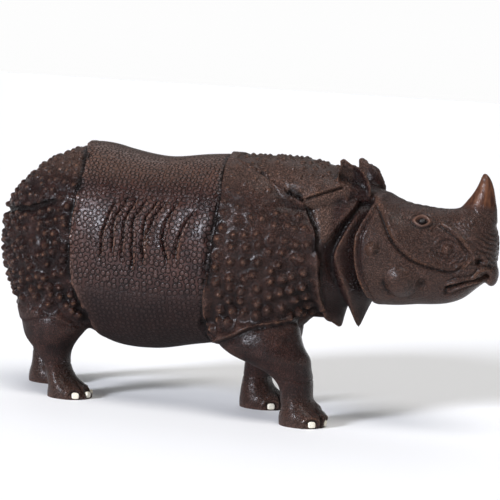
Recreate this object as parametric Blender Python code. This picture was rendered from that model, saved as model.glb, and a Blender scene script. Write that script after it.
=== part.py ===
"""A carved hardwood figurine of an Indian rhinoceros, striding, with three inlaid bone nails on each foot.

The animal is one piece of wood: body, legs, head, horn and ears. It is built as overlapping closed lofts,
fused by a voxel remesh, then carved: armour plates, folds, knobs and the face are raised or cut on that skin.
Tables of the figure are in millimetres for a 440 mm long carving, +X towards the head and +Z up.
"""

import math
import random

import bmesh
import bpy
import numpy as np
from mathutils import Vector, kdtree

# Driving sizes, in metres
FIGURE_LENGTH = 0.440
NAIL_WIDTH = 0.0062
NAIL_HEIGHT = 0.0052
NAIL_DEPTH = 0.0024
NAIL_PROUD = 0.0006
NAIL_LIFT = 0.0010
NAIL_CLEARANCE = 0.0003
KNOB_RADIUS = 0.0056
KNOB_HEIGHT = 0.0026
KNOB_SPACING = 0.0098
SHOULDER_KNOB_SPACING = 0.0118
PLATE_STEP = 0.0026

MM = FIGURE_LENGTH / 440
VOXEL = 1.5 * MM
FUSE_SMOOTHING = 8
BODY_TRIANGLES = 8250
SHARP_EDGE = math.radians(26)

WOOD = (0.045, 0.026, 0.018, 1)
BONE = (0.72, 0.66, 0.52, 1)

# Torso: x, back, belly, half width, height of the widest point
TORSO = (
    (-221, 150, 126, 10, 139),
    (-219.5, 164, 106, 23, 137),
    (-212, 178, 86, 36, 135),
    (-201, 190, 74, 45, 133),
    (-187, 203, 68, 52, 132),
    (-167, 213, 65, 58, 129),
    (-148, 220.5, 61, 61, 126),
    (-128, 220.5, 55, 63, 123),
    (-110, 216.8, 48, 64.5, 121),
    (-74, 212.5, 46.2, 65.5, 120),
    (-36, 217, 53.7, 64.5, 124),
    (-10, 219, 58.5, 63, 127),
    (20, 219, 63, 61, 129),
    (40, 214, 72, 57, 131),
    (58, 207, 84, 53, 134),
    (72, 200, 98, 51, 138),
    (82, 196, 104, 48.5, 140),
)

# The shoulder shield's front edge leans back towards the top: height, shift of the last station
SHIELD_LEAN = ((100, 0), (150, 0), (157, -2), (166, -6), (174, -12), (182, -17), (188, -20), (230, -24))

# Nape plate from the shoulders to the ears: x, top, underside, half width, height of its hem
NAPE = (
    (-14, 214, 184, 20, 200),
    (6, 218.5, 180, 30, 195),
    (30, 220.5, 176, 38, 191),
    (50, 219.8, 172, 42, 188),
    (66, 217, 170, 41, 187.5),
    (80, 213.5, 172, 37, 192.5),
    (92, 206.5, 176, 31, 197),
    (104, 202, 180, 24, 196),
    (118, 198, 184, 17, 190),
)

# Neck and its two bib folds as right-hand half rings from nape to throat, each point x, y, z
NECK = (
    ((45, 0, 206), (45, 26, 196), (45, 38, 172), (45, 44, 148), (45, 45, 130), (45, 40, 112), (45, 30, 100),
     (45, 16, 92), (45, 0, 88)),
    ((75, 0, 205), (78, 30, 190), (76, 41, 170), (72, 45, 148), (72, 45, 130), (73, 41, 113), (74, 30, 101),
     (76, 16, 93), (78, 0, 89)),
    ((101, 0, 200), (105, 28, 186.8), (90.8, 38.5, 166.8), (80.5, 46, 146.5), (80.6, 46, 129.3), (81.3, 41, 112.6),
     (80.5, 28.5, 97.5), (84.2, 17, 87.5), (89.7, 0, 79.7)),
    ((106, 0, 197), (104, 21, 181), (95.5, 27, 163), (89, 31, 145), (90, 32, 131), (94, 28, 117), (95.5, 20, 108),
     (95, 10, 104.5), (94, 0, 103)),
    ((109, 0, 196), (106, 26, 179), (98, 36.5, 160), (93, 41, 144), (97, 40, 132), (102, 36, 118),
     (104.3, 29, 107.7), (104.5, 17, 93.5), (105.1, 0, 81.8)),
    ((112, 0, 195), (113, 20, 182), (107, 26, 164), (104.5, 28, 148), (105.5, 28, 136), (108.5, 25, 124),
     (112, 18, 113), (114, 10, 107), (114, 0, 105)),
    ((126, 0, 188), (126, 12, 178), (126, 18, 165), (126, 20, 150), (126, 20, 138), (126, 17, 128), (126, 12, 120),
     (126, 7, 116), (126, 0, 115)),
)

# Head: x, brow line, throat line, half width, height of the widest point
HEAD = (
    (122, 184, 122, 24, 152),
    (118.3, 194, 108, 34, 149),
    (118, 196.5, 104.5, 36.5, 148),
    (120, 197, 103.5, 38, 147),
    (128, 194, 103.5, 38, 144),
    (142, 189.5, 104.5, 35, 142),
    (156, 188, 106.5, 31, 146),
    (168, 187, 107.5, 28, 149),
    (180, 187.5, 109.5, 25.5, 150),
    (192, 190.5, 114.5, 23.5, 152),
    (203, 189, 124, 21.5, 154),
    (211, 183, 131, 17.5, 155),
    (216, 174, 138, 12, 156),
    (218.5, 166, 146, 5, 156),
)

# The cheek's back edge: height, x
CHEEK_EDGE = ((103, 118.5), (108, 118.5), (116, 115.3), (126, 111.5), (137, 108.8), (150, 107.4), (161, 107.7),
              (171, 111.5), (182, 116.4), (191, 118), (200, 120))
CHEEK_BLEND = 150
UPPER_LIP = (215, 0, 136.5)
UPPER_LIP_SIZE = (5.4, 9.5, 10)

# Horn: height, x, y, half length along the nose, half thickness
HORN = (
    (178, 199, 0, 17.5, 14),
    (184, 199.5, 0, 16.5, 12.5),
    (189, 200.7, 0, 14.8, 11),
    (194, 202, 0, 12.4, 9.4),
    (200, 203.6, 0, 9.6, 7.8),
    (206, 204.6, 0, 7.2, 6.1),
    (212, 204.6, 0, 4.8, 4.3),
    (216, 204, 0, 2.9, 2.8),
    (218.3, 203.4, 0, 1.2, 1.2),
)

# Tail: height, x, y, half length, half width
TAIL = (
    (160, -213, 0, 5.5, 7),
    (150, -217.5, 0, 5.5, 6.5),
    (134, -219.5, 0, 4.8, 5.2),
    (116, -218.5, 0, 4.6, 4.6),
    (100, -214.5, 0, 5, 5),
    (88, -209, 0, 6, 6.4),
    (79, -203.5, 0, 5.2, 5.6),
    (73, -199, 0, 2.4, 2.8),
)

# Legs: height, x, y, half length, half width
FORELEG_NEAR = (
    (-3, 71.2, -33, 18.2, 18.5),
    (3, 71.8, -33, 19.8, 19.5),
    (9, 72.2, -33, 20.2, 19.2),
    (14, 70, -33, 16.2, 17),
    (20, 65.5, -33, 13.4, 15),
    (29, 64.7, -33.5, 13.4, 14.6),
    (38, 61.2, -34, 16.6, 16.2),
    (47, 51.3, -35.5, 24.9, 19.5),
    (55, 40.2, -37, 35.7, 23),
    (64, 30.6, -37, 39, 24.5),
    (76, 27.5, -36, 38, 24),
    (92, 26, -34, 37, 22),
    (115, 25, -32, 34, 20),
)
FORELEG_FAR = (
    (-3, 13, 33, 18.2, 18.5),
    (3, 13.5, 33, 19.8, 19.5),
    (9, 13.8, 33, 20, 19.2),
    (14, 10.4, 33, 16.4, 17),
    (20, 7.4, 33, 12.8, 15),
    (29, 7.2, 33.5, 11.6, 14.6),
    (38, 9, 34, 13, 16.2),
    (48, 14.5, 35, 18.5, 18),
    (58, 18, 36, 23, 22),
    (70, 18, 36, 26, 23),
    (90, 19, 34, 28, 22),
    (115, 22, 32, 30, 20),
)
HINDLEG_NEAR = (
    (-3, -141, -33, 18.6, 18.5),
    (3, -141, -33, 19.4, 19.5),
    (9, -143.3, -33, 16, 18.6),
    (15, -148.6, -33, 12.4, 16.5),
    (21, -151.6, -33, 11, 14.6),
    (29, -154.8, -33.5, 11.5, 14.4),
    (38, -158, -34, 15, 16.2),
    (49, -160, -35, 22.6, 20),
    (60, -158, -35, 30.5, 23),
    (75, -159.5, -34, 36, 25),
    (100, -167, -31, 36, 24),
    (120, -166, -28, 34, 22),
)
HINDLEG_FAR = (
    (-3, -190.2, 33, 20.2, 18.5),
    (3, -189.8, 33, 21.6, 19.5),
    (9, -190.8, 33, 20, 18.8),
    (15, -193.8, 33, 15.4, 16.5),
    (21, -196.2, 33, 12.6, 14.6),
    (29, -196.6, 33.5, 12.4, 14.4),
    (38, -194.5, 34, 14.8, 16.2),
    (49, -188.5, 35, 21, 20),
    (60, -181, 35, 26, 23),
    (75, -173, 34, 32, 25),
    (100, -167, 31, 36, 24),
    (120, -166, 28, 34, 22),
)
LEGS = (
    ("fore_right", FORELEG_NEAR),
    ("fore_left", FORELEG_FAR),
    ("hind_right", HINDLEG_NEAR),
    ("hind_left", HINDLEG_FAR),
)


# Ears: base, tip, direction of the opening, half width, depth of the cup
EAR_BASE = (108, 25, 189)
EAR_TIP = (90, 28, 222)
EAR_OPENING = (0.35, 0.94, 0.05)
EAR_HALF_WIDTH = 11
EAR_DEPTH = 9
EAR_THICKNESS = 3


# Armour. The girth angle runs from 0 at the spine to 180 at the belly, about a line at this height
AXIS_HEIGHT = 128
# Saddle's rear hem and its front one under the shoulder shield: girth angle, x
REAR_HEM = ((0, -148), (10, -145), (19, -139.5), (32, -134.5), (47, -135.6), (68, -137.2), (90, -137),
            (103, -135.8), (112, -133.6), (124, -130.2), (135, -127.2), (145, -121), (180, -118))
SHOULDER_HEM = ((0, -17), (7, -13.3), (44, -5.5), (64, -6.1), (73, -7.5), (96, -9.9), (109, -12.3), (119, -13.6),
                (166, -16.5), (180, -17))
# Shoulder shield's front edge: height, x; its hem over the foreleg: x, height
SHIELD_FRONT = ((98, 83), (139, 82), (154, 80), (166, 76), (174, 70), (181, 65.5), (187.6, 62), (191.7, 51.6),
                (197.4, 41), (204, 28.4), (209, 16.6), (213.4, 4), (216, -4), (225, -8))
SHIELD_HEM = ((-17, 58), (6, 66.7), (16.6, 71.5), (28.6, 78.5), (41.7, 82.2), (52.4, 84.5), (75, 91.4), (83, 97))
# Fold across the rump: x, height
HIP_FOLD = ((-225, 157), (-203, 158.8), (-190, 161), (-180, 162.5), (-169, 166), (-159, 170), (-150, 174))
THIGH_HEM = 67
# Wrinkles of the flank: x where each one runs straight down; they lean forward above it
FLANK_WRINKLES = (-105, -95.5, -85.5, -75.5, -66, -56, -46, -36.5)
WRINKLE_LEAN = ((40, 17), (48, 10), (59, 3), (66, 0), (88, 0), (105, 2))

# Furrow on each side of the tail: x where it begins and is full; height, share of its depth; its middle's y
TAIL_FURROW_START = (-203, -211)
TAIL_FURROW = ((78, 0), (90, 1), (150, 1), (158, 0))
TAIL_FURROW_SIDE = 10.5

# Rows of knobs over the rump and the shoulder: first and last x; height, share of the full knob at the shoulder
RUMP_KNOBS = (-221, -143)
SHOULDER_KNOBS = (2, 74)
KNOB_SHRINK = ((165, 1), (212, 0.78))

# Face, as points on the right-hand side
EYE = (159.6, 23.4, 176.9)
CHEEK_FOLD = ((119.3, 19.5, 192.1), (129, 26.4, 180), (137.2, 30.8, 166.2), (145.9, 31.9, 155.6),
              (155.1, 30.1, 148.5), (166.2, 26.6, 144), (178.4, 24.7, 141.3), (186.6, 22.2, 139.9),
              (193.5, 21.9, 141.5), (199.9, 22.9, 148.7))
NOSE_RIDGE = ((176.3, 20.9, 176.3), (184.9, 22.8, 171.8), (193.9, 23.6, 164.9), (200.7, 22.2, 157.4))
LIP_RIDGE = ((183.5, 19.6, 127.2), (193, 18.3, 131.2), (202.3, 15.6, 133.1), (209, 16.9, 139.3), (213.4, 12.9, 141.1))
MOUTH = ((185, 19.4, 123.2), (193, 19, 127.2), (202.8, 16.3, 130.7), (209.7, 10.8, 132.2), (213.1, 8.5, 134.8))
MOUTH_CAVITY = (210.6, 8.7, 135.4)
JAW_CREASE = ((130.5, 31.7, 119.9), (131.7, 33.9, 125.1), (133, 35, 131), (138, 35.2, 137.2), (144.1, 33.6, 139.7),
              (150, 32, 138), (154.5, 30.6, 135.3))
JAW_PIT = (164.6, 25.3, 125.8)
NOSTRIL_ARCH = ((197.2, 23.3, 141.7), (201.8, 23.3, 147), (205.9, 21.1, 150.5), (209.3, 20.4, 152.7),
                (213.1, 16.5, 150))
NOSTRIL = (208, 17.6, 146.6)
HORN_BOSS = (194, 17, 181)
BUMPS = (
    ((182.9, 27.1, 155.7), 5, 2.4),
    ((123.2, 37.4, 151.5), 5.5, 2.0),
    ((148.1, 32, 124.8), 13, 2.0),
    ((160, 17, 187), 11, 1.4),
)

# Feet: leg's name, middle x and y, turn to the left in degrees; toes: direction from the foot's middle
FEET = (
    ("front_right", 69, -33, 6),
    ("front_left", 11.5, 33, 0),
    ("hind_right", -140, -33, -5),
    ("hind_left", -191, 33, 0),
)
TOES = (("outer", -48), ("middle", 0), ("inner", 48))
TOE_GROOVES = (-24, 24)


def smooth_rows(rows, count):
    """Rows of a table, smoothly interpolated to count rows that are evenly spaced along it."""
    rows = np.array(rows, float)
    steps = np.linalg.norm(np.diff(rows, axis=0), axis=1)
    at = np.concatenate([[0], np.cumsum(steps)])
    slopes = np.gradient(rows, at, axis=0)
    t = np.linspace(0, at[-1], count)
    i = np.clip(np.searchsorted(at, t, side="right") - 1, 0, len(rows) - 2)
    span = (at[i + 1] - at[i])[:, None]
    u = (t - at[i])[:, None] / span
    return (
        rows[i] * (1 + 2 * u) * (1 - u) ** 2
        + slopes[i] * span * u * (1 - u) ** 2
        + rows[i + 1] * u * u * (3 - 2 * u)
        + slopes[i + 1] * span * u * u * (u - 1)
    )


def mesh_object(name, points, faces):
    mesh = bpy.data.meshes.new(name)
    mesh.from_pydata([tuple(p) for p in points], [], faces)
    obj = bpy.data.objects.new(name, mesh)
    bpy.context.scene.collection.objects.link(obj)
    return obj


def loft(name, rings):
    """A closed skin over rings with equal numbers of points, each end closed by a fan to its middle."""
    rings = np.asarray(rings, float)
    count, around = rings.shape[:2]
    points = list(rings.reshape(-1, 3)) + [rings[0].mean(0), rings[-1].mean(0)]
    first, last = count * around, count * around + 1
    faces = []
    for j in range(around):
        k = (j + 1) % around
        faces.append((first, k, j))
        faces.append((last, (count - 1) * around + j, (count - 1) * around + k))
        for i in range(count - 1):
            faces.append((i * around + j, i * around + k, (i + 1) * around + k, (i + 1) * around + j))
    obj = mesh_object(name, points, faces)
    outward(obj)
    return obj


def outward(obj):
    """Turns all faces of a closed mesh to point out."""
    mesh = bmesh.new()
    mesh.from_mesh(obj.data)
    bmesh.ops.recalc_face_normals(mesh, faces=mesh.faces)
    if mesh.calc_volume(signed=True) < 0:
        bmesh.ops.reverse_faces(mesh, faces=mesh.faces)
    mesh.to_mesh(obj.data)
    mesh.free()


def rounded(angle, power):
    """Cosine and sine of an angle, squared off into a superellipse."""
    c, s = math.cos(angle), math.sin(angle)
    return math.copysign(abs(c) ** power, c), math.copysign(abs(s) ** power, s)


def lengthwise(name, rows, power=0.9, stations=72, around=72):
    """A loft along X: each row gives top, bottom, half width and the height of the widest point."""
    rings = []
    for x, top, bottom, half, widest in smooth_rows(rows, stations):
        ring = []
        for k in range(around):
            c, s = rounded(2 * math.pi * k / around, power)
            reach = top - widest if c > 0 else widest - bottom
            ring.append((x, s * half, widest + c * reach))
        rings.append(ring)
    return loft(name, np.array(rings) * MM)


def upright(name, rows, power=0.92, stations=48, around=40):
    """A loft along Z: each row gives height, x, y and the two half widths."""
    rings = []
    for z, x, y, half_x, half_y in smooth_rows(rows, stations):
        ring = []
        for k in range(around):
            c, s = rounded(2 * math.pi * k / around, power)
            ring.append((x + c * half_x, y + s * half_y, z))
        rings.append(ring)
    return loft(name, np.array(rings) * MM)


def smooth_between(pairs, at):
    """A value read off a short table of pairs, at an array of places."""
    pairs = np.array(pairs, float)
    return np.interp(at, pairs[:, 0], pairs[:, 1])


def ramp(low, high, at):
    """Zero at low, one at high, with a smooth rise between."""
    t = np.clip((at - low) / (high - low), 0, 1)
    return t * t * (3 - 2 * t)


def mirrored_ring(half, per_span=6):
    """A closed ring from its right-hand half: spans smoothly rounded, then mirrored across Y."""
    half = np.array(half, float)
    mirror = np.array([1, -1, 1])
    padded = np.vstack([half[1] * mirror, half, half[-2] * mirror])
    points = []
    for i in range(1, len(padded) - 2):
        p0, p1, p2, p3 = padded[i - 1:i + 3]
        for k in range(per_span):
            t = k / per_span
            points.append(
                0.5 * (2 * p1 + (p2 - p0) * t + (2 * p0 - 5 * p1 + 4 * p2 - p3) * t * t
                       + (3 * p1 - p0 - 3 * p2 + p3) * t ** 3)
            )
    points.append(half[-1])
    right = np.array(points)
    left = right[1:-1][::-1] * mirror
    return np.vstack([right, left])


def neck():
    """The neck's ring loft: straight panels between the ridges and the valleys of its folds."""
    rings = []
    halves = [np.array(half, float) for half in NECK]
    for a, b in zip(halves, halves[1:]):
        for k in range(4):
            rings.append(mirrored_ring(a + (b - a) * k / 4))
    rings.append(mirrored_ring(halves[-1]))
    return loft("neck", np.array(rings) * MM)


def bend(obj, start, end, shift):
    """Shifts the stations between start and end along X by a share of shift(height)."""
    mesh = obj.data
    co = np.empty(len(mesh.vertices) * 3)
    mesh.vertices.foreach_get("co", co)
    co = co.reshape(-1, 3) / MM
    co[:, 0] += ramp(start, end, co[:, 0]) * shift(co)
    mesh.vertices.foreach_set("co", (co * MM).ravel())
    return obj


def ear(side):
    """A leaf-shaped cup: a sheet curved across its length, given thickness and a closed rim."""
    base, tip, opening = (np.array(v, float) for v in (EAR_BASE, EAR_TIP, EAR_OPENING))
    along = tip - base
    length = np.linalg.norm(along)
    along /= length
    opening -= along * opening.dot(along)
    opening /= np.linalg.norm(opening)
    across = np.cross(opening, along)
    stations, spans = 16, 14
    sheets = []
    for outer in (0, 1):
        for i in range(stations + 1):
            t = i / stations
            width = EAR_HALF_WIDTH * (0.30 + 0.70 * math.sin(math.pi * min(1, 0.12 + 0.88 * t) ** 0.9) ** 0.75)
            width *= 1 - ramp(0.62, 1.0, t) * 0.78
            depth = EAR_DEPTH * (0.55 + 0.45 * math.sin(math.pi * t)) * (1 - 0.6 * t)
            for j in range(spans + 1):
                angle = math.radians(-100 + 200 * j / spans)
                reach = width + outer * EAR_THICKNESS * 0.5
                back = depth + outer * EAR_THICKNESS
                p = base + along * length * t + across * reach * math.sin(angle) - opening * back * math.cos(angle)
                sheets.append(p * np.array([1, side, 1]))
    row, sheet = spans + 1, (stations + 1) * (spans + 1)
    faces = []
    for i in range(stations):
        for j in range(spans):
            a = i * row + j
            faces.append((a, a + 1, a + row + 1, a + row))
            faces.append((sheet + a, sheet + a + row, sheet + a + row + 1, sheet + a + 1))
        for j in (0, spans):
            a = i * row + j
            faces.append((a, a + row, sheet + a + row, sheet + a))
    for i in (0, stations):
        for j in range(spans):
            a = i * row + j
            faces.append((a, sheet + a, sheet + a + 1, a + 1))
    obj = mesh_object("ear", np.array(sheets) * MM, faces)
    outward(obj)
    return obj


def ball(name, centre, radii):
    mesh = bmesh.new()
    bmesh.ops.create_icosphere(mesh, subdivisions=4, radius=1)
    for v in mesh.verts:
        v.co = Vector(c + r * q for c, r, q in zip(centre, radii, v.co)) * MM
    data = bpy.data.meshes.new(name)
    mesh.to_mesh(data)
    mesh.free()
    obj = bpy.data.objects.new(name, data)
    bpy.context.scene.collection.objects.link(obj)
    return obj


def join(objects, name):
    """Several closed meshes as one object; the remesh fuses them."""
    mesh = bmesh.new()
    for obj in objects:
        mesh.from_mesh(obj.data)
        bpy.data.objects.remove(obj)
    data = bpy.data.meshes.new(name)
    mesh.to_mesh(data)
    mesh.free()
    obj = bpy.data.objects.new(name, data)
    bpy.context.scene.collection.objects.link(obj)
    return obj


def apply_modifiers(obj):
    graph = bpy.context.evaluated_depsgraph_get()
    data = bpy.data.meshes.new_from_object(obj.evaluated_get(graph))
    obj.modifiers.clear()
    obj.data = data


def fuse(obj, voxel, smoothing):
    remesh = obj.modifiers.new("fuse", "REMESH")
    remesh.mode = "VOXEL"
    remesh.voxel_size = voxel
    if smoothing:
        smooth = obj.modifiers.new("soften", "SMOOTH")
        smooth.factor = 0.5
        smooth.iterations = round(smoothing)
    apply_modifiers(obj)
    return obj


def bulk():
    """The large masses: torso, legs, head, shoulders and hips."""
    shield = bend(lengthwise("torso", TORSO), 30, 82, lambda p: smooth_between(SHIELD_LEAN, p[:, 2]))
    pieces = [shield]
    pieces += [upright(name, rows) for name, rows in LEGS]
    for side in (-1, 1):
        pieces.append(ball("hip", (-164, side * 30, 114), (41, 31, 54)))
        pieces.append(ball("shoulder", (27, side * 29, 124), (42, 32, 56)))
    return fuse(join(pieces, "body"), VOXEL, FUSE_SMOOTHING)


def tail():
    """A short tail lying against the rump, with a tuft at its end."""
    return upright("tail", TAIL, power=1, stations=24, around=16)


def cheek_shift(p):
    return smooth_between(CHEEK_EDGE, p[:, 2]) - 118


def figure():
    """The bulk with the parts that keep crisp edges: neck folds, nape plate, head, horn and ears."""
    head = bend(lengthwise("head", HEAD, power=0.88), CHEEK_BLEND, 118, cheek_shift)
    horn = upright("horn", HORN, power=1)
    lip = ball("lip", UPPER_LIP, UPPER_LIP_SIZE)
    pieces = [bulk(), neck(), lengthwise("nape", NAPE, power=0.8), head, horn, lip, tail()]
    for side in (-1, 1):
        pieces.append(ear(side))
    return fuse(join(pieces, "body"), VOXEL, 2)


def read_skin(obj):
    """Positions in millimetres and normals of a mesh's vertices."""
    mesh = obj.data
    co = np.empty(len(mesh.vertices) * 3)
    no = np.empty(len(mesh.vertices) * 3)
    mesh.vertices.foreach_get("co", co)
    mesh.vertex_normals.foreach_get("vector", no)
    return co.reshape(-1, 3) / MM, no.reshape(-1, 3)


def write_skin(obj, co):
    obj.data.vertices.foreach_set("co", (co * MM).ravel())
    obj.data.update()


def girth(co):
    return np.degrees(np.arctan2(np.abs(co[:, 1]), co[:, 2] - AXIS_HEIGHT))


def near_line(co, points, sides=True):
    """Distance from each position to a line through points, on both sides of the animal if asked."""
    p = co * np.array([1, -1, 1])
    if sides:
        p = np.column_stack([co[:, 0], np.abs(co[:, 1]), co[:, 2]])
    best = np.full(len(p), 1e9)
    points = np.array(points, float)
    for a, b in zip(points, points[1:]):
        ab = b - a
        t = np.clip((p - a) @ ab / ab.dot(ab), 0, 1)
        best = np.minimum(best, np.linalg.norm(p - a - t[:, None] * ab, axis=1))
    return best


def bell(distance, width):
    return np.exp(-((distance / width) ** 2))


def dome(distance, radius):
    """A rounded knob's profile: one at its middle, zero from its radius on."""
    return np.clip(1 - (distance / radius) ** 2, 0, 1) ** 1.3


def on_trunk(co):
    """Zero on the head and the neck's folds, one on the armoured trunk."""
    return (co[:, 0] < smooth_between(SHIELD_FRONT, co[:, 2]) + 1).astype(float)


def carve_plates(obj):
    """Steps, hems and folds of the armour, along the skin's own direction."""
    co, no = read_skin(obj)
    x, z = co[:, 0], co[:, 2]
    side = np.abs(co[:, 1])
    angle = girth(co)
    behind = smooth_between(REAR_HEM, angle) - x
    ahead = x - smooth_between(SHOULDER_HEM, angle)
    front = smooth_between(SHIELD_FRONT, z) - x
    above = z - smooth_between(SHIELD_HEM, x)
    trunk = on_trunk(co)

    rump = ramp(-0.4, 1.2, behind) * ramp(48, 74, z)
    depth = -PLATE_STEP / MM * rump * (0.75 + 0.25 * np.exp(-behind.clip(0) / 30))
    depth -= 1.3 * bell(behind - 2.2, 1.8) * ramp(48, 60, z)

    shield = ramp(-0.6, 0.9, ahead) * trunk
    over_leg = np.where(x > -16, ramp(-0.6, 0.9, above), 1.0)
    outer = ramp(20, 32, side)
    shield *= 1 - (1 - over_leg) * outer
    depth += 1.7 * shield * ramp(-0.8, 0.8, front)
    depth -= 0.9 * bell(ahead + 1.9, 1.5) * trunk
    leg_top = (x > -16) * outer * ramp(34, 46, z)
    depth -= 2.2 * leg_top * ramp(0.6, -0.6, above) * np.exp(above.clip(-60, 0) / 9)
    cut = (x > -10) * ramp(184, 190, z) * ramp(216, 209, z)
    depth -= 2.0 * cut * bell(front + 1.2, 1.6)

    fold = z - smooth_between(HIP_FOLD, x)
    hip = ramp(-152, -162, x)
    depth += hip * np.where(fold > 0, 2.0 * np.exp(-fold.clip(0) / 16) * ramp(-0.8, 0.8, fold), 0)
    depth -= hip * 1.8 * np.where(fold < 0.4, np.exp(fold.clip(-60, 0) / 5), 0)

    thigh = (x < -128) * outer
    below = THIGH_HEM + 3 * np.sin(x / 9) - z
    depth -= 1.4 * thigh * ramp(-0.5, 1.0, below) * np.exp(-below.clip(0) / 10) * ramp(30, 44, z)

    seat = ramp(*TAIL_FURROW_START, x) * smooth_between(TAIL_FURROW, z)
    depth -= 1.8 * seat * bell(side - TAIL_FURROW_SIDE, 2.6)

    for middle in FLANK_WRINKLES:
        lean = smooth_between(WRINKLE_LEAN, angle)
        wave = 1.2 * np.sin(angle / 7 + middle)
        away = x - middle - lean - wave
        reach = ramp(44, 56, angle) * ramp(104, 88, angle)
        depth += reach * (0.5 * bell(away - 3.4, 2.4) - 1.5 * bell(away, 1.5))
    write_skin(obj, co + no * depth[:, None])


def carve_face(obj):
    co, no = read_skin(obj)
    mirrored = np.column_stack([co[:, 0], np.abs(co[:, 1]), co[:, 2]])

    def away(point, stretch=(1, 1, 1)):
        return np.linalg.norm((mirrored - np.array(point, float)) / np.array(stretch, float), axis=1)

    depth = np.zeros(len(co))
    eye = away(EYE, (1.15, 1, 0.95))
    depth += 1.6 * dome(eye, 4.6) - 1.9 * bell(eye - 5.1, 0.9)
    depth += 1.5 * bell(eye - 7.0, 1.1) - 1.0 * bell(eye - 9.6, 1.2)
    fold = near_line(co, CHEEK_FOLD)
    below = near_line(co, np.array(CHEEK_FOLD) + np.array((-2.6, 0.4, -3.6)))
    depth += 1.4 * bell(fold, 2.4) - 1.9 * bell(below, 1.6)
    depth += 1.6 * bell(near_line(co, NOSE_RIDGE), 2.2)
    depth += 1.3 * bell(near_line(co, LIP_RIDGE), 1.8) - 3.0 * bell(near_line(co, MOUTH), 1.4)
    depth -= 2.4 * dome(away(MOUTH_CAVITY), 4.2)
    depth -= 1.2 * bell(near_line(co, JAW_CREASE), 1.5) + 1.6 * dome(away(JAW_PIT), 5)
    depth += 1.6 * bell(near_line(co, NOSTRIL_ARCH), 1.8) - 3.6 * dome(away(NOSTRIL, (1.2, 1, 1)), 3.8)
    boss = away(HORN_BOSS)
    depth += 1.2 * dome(boss, 4.5) - 1.1 * bell(boss - 5.6, 1.0)
    for place, radius, height in BUMPS:
        depth += height * dome(away(place), radius)
    muzzle = ramp(203, 209, co[:, 0]) * ramp(14, 8, np.abs(co[:, 1])) * ramp(144, 148, co[:, 2])
    muzzle *= ramp(176, 170, co[:, 2])
    depth += 0.5 * muzzle * np.sin(co[:, 2] * 2 * math.pi / 5.2)
    write_skin(obj, co + no * depth[:, None])


def skin_tree(co):
    tree = kdtree.KDTree(len(co))
    for i, p in enumerate(co):
        tree.insert(p, i)
    tree.balance()
    return tree


def knob_rows(start, end, pitch, shape):
    """Rows of places around the trunk, each row a ring of the torso's own form, staggered."""
    rows = smooth_rows(TORSO, 400)
    edge = np.column_stack([rows[:, 0], np.hypot(rows[:, 3], rows[:, 1] - rows[:, 4])])
    travel = np.concatenate([[0], np.cumsum(np.linalg.norm(np.diff(edge, axis=0), axis=1))])
    first, last = np.interp([start, end], rows[:, 0], travel)
    count = max(1, round((last - first) / pitch))
    places = []
    for k in range(count + 1):
        at = first + (last - first) * k / count
        x, top, bottom, half, widest = [np.interp(at, travel, rows[:, c]) for c in range(5)]
        ring = []
        for step in range(0, 181):
            c, s = rounded(math.radians(step), 0.9)
            reach = top - widest if c > 0 else widest - bottom
            ring.append((x, s * half, widest + c * reach))
        ring = np.array(ring)
        along = np.concatenate([[0], np.cumsum(np.linalg.norm(np.diff(ring, axis=0), axis=1))])
        number = max(1, round(along[-1] / pitch))
        for n in range(number + 1):
            d = (n + 0.5 * (k % 2)) * along[-1] / number
            if d > along[-1]:
                continue
            place = np.array([np.interp(d, along, ring[:, c]) for c in range(3)])
            places.append(place + np.array([shape(place, k / count), 0, 0]))
    return places


def knob_places(co):
    """Knob centres on the skin: position, radius and height of each."""
    tree = skin_tree(co)
    dice = random.Random(3)

    def hem_shift(place, share):
        angle = math.degrees(math.atan2(place[1], place[2] - AXIS_HEIGHT))
        return (smooth_between(REAR_HEM, angle) + 137) * share

    def no_shift(place, share):
        return 0.0

    wanted = [(p, 0) for p in knob_rows(*RUMP_KNOBS, KNOB_SPACING / MM, hem_shift)]
    wanted += [(p, 1) for p in knob_rows(*SHOULDER_KNOBS, SHOULDER_KNOB_SPACING / MM, no_shift)]
    knobs = []
    for place, zone in wanted:
        for side in (-1, 1):
            jitter = np.array([dice.uniform(-1.1, 1.1), 0, dice.uniform(-1.1, 1.1)])
            spot, index, _ = tree.find((place + jitter) * np.array([1, side, 1]))
            x, y, z = spot
            angle = math.degrees(math.atan2(abs(y), z - AXIS_HEIGHT))
            if side == 1 and abs(y) < 3:
                continue
            radius, height = KNOB_RADIUS / MM, KNOB_HEIGHT / MM
            if zone == 0:
                if x > smooth_between(REAR_HEM, angle) - 6 or z < THIGH_HEM + 4 or abs(y) < 14 and z < 150:
                    continue
                if abs(z - smooth_between(HIP_FOLD, x)) < 3.5 and x < -158:
                    continue
                radius *= 0.86
                height *= 0.9
            else:
                front = smooth_between(SHIELD_FRONT, z) - x
                if x < smooth_between(SHOULDER_HEM, angle) + 6 or z < smooth_between(SHIELD_HEM, x) + 5:
                    continue
                if abs(front) < 5 or abs(y) < 20 and z < 150:
                    continue
                if front < 0:
                    radius *= 0.7
                    height *= 0.65
                radius *= smooth_between(KNOB_SHRINK, z)
            if any((q - spot).length < (radius + r) * 0.8 for q, r, _ in knobs[-60:]):
                continue
            knobs.append((spot.copy(), radius, height))
    return tree, knobs


def carve_knobs(obj):
    co, no = read_skin(obj)
    tree, knobs = knob_places(co)
    depth = np.zeros(len(co))
    for spot, radius, height in knobs:
        found = tree.find_range(spot, radius)
        index = np.array([i for _, i, _ in found])
        away = np.array([d for _, _, d in found])
        depth[index] = np.maximum(depth[index], height * (1 - away / radius))
    write_skin(obj, co + no * depth[:, None])


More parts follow.
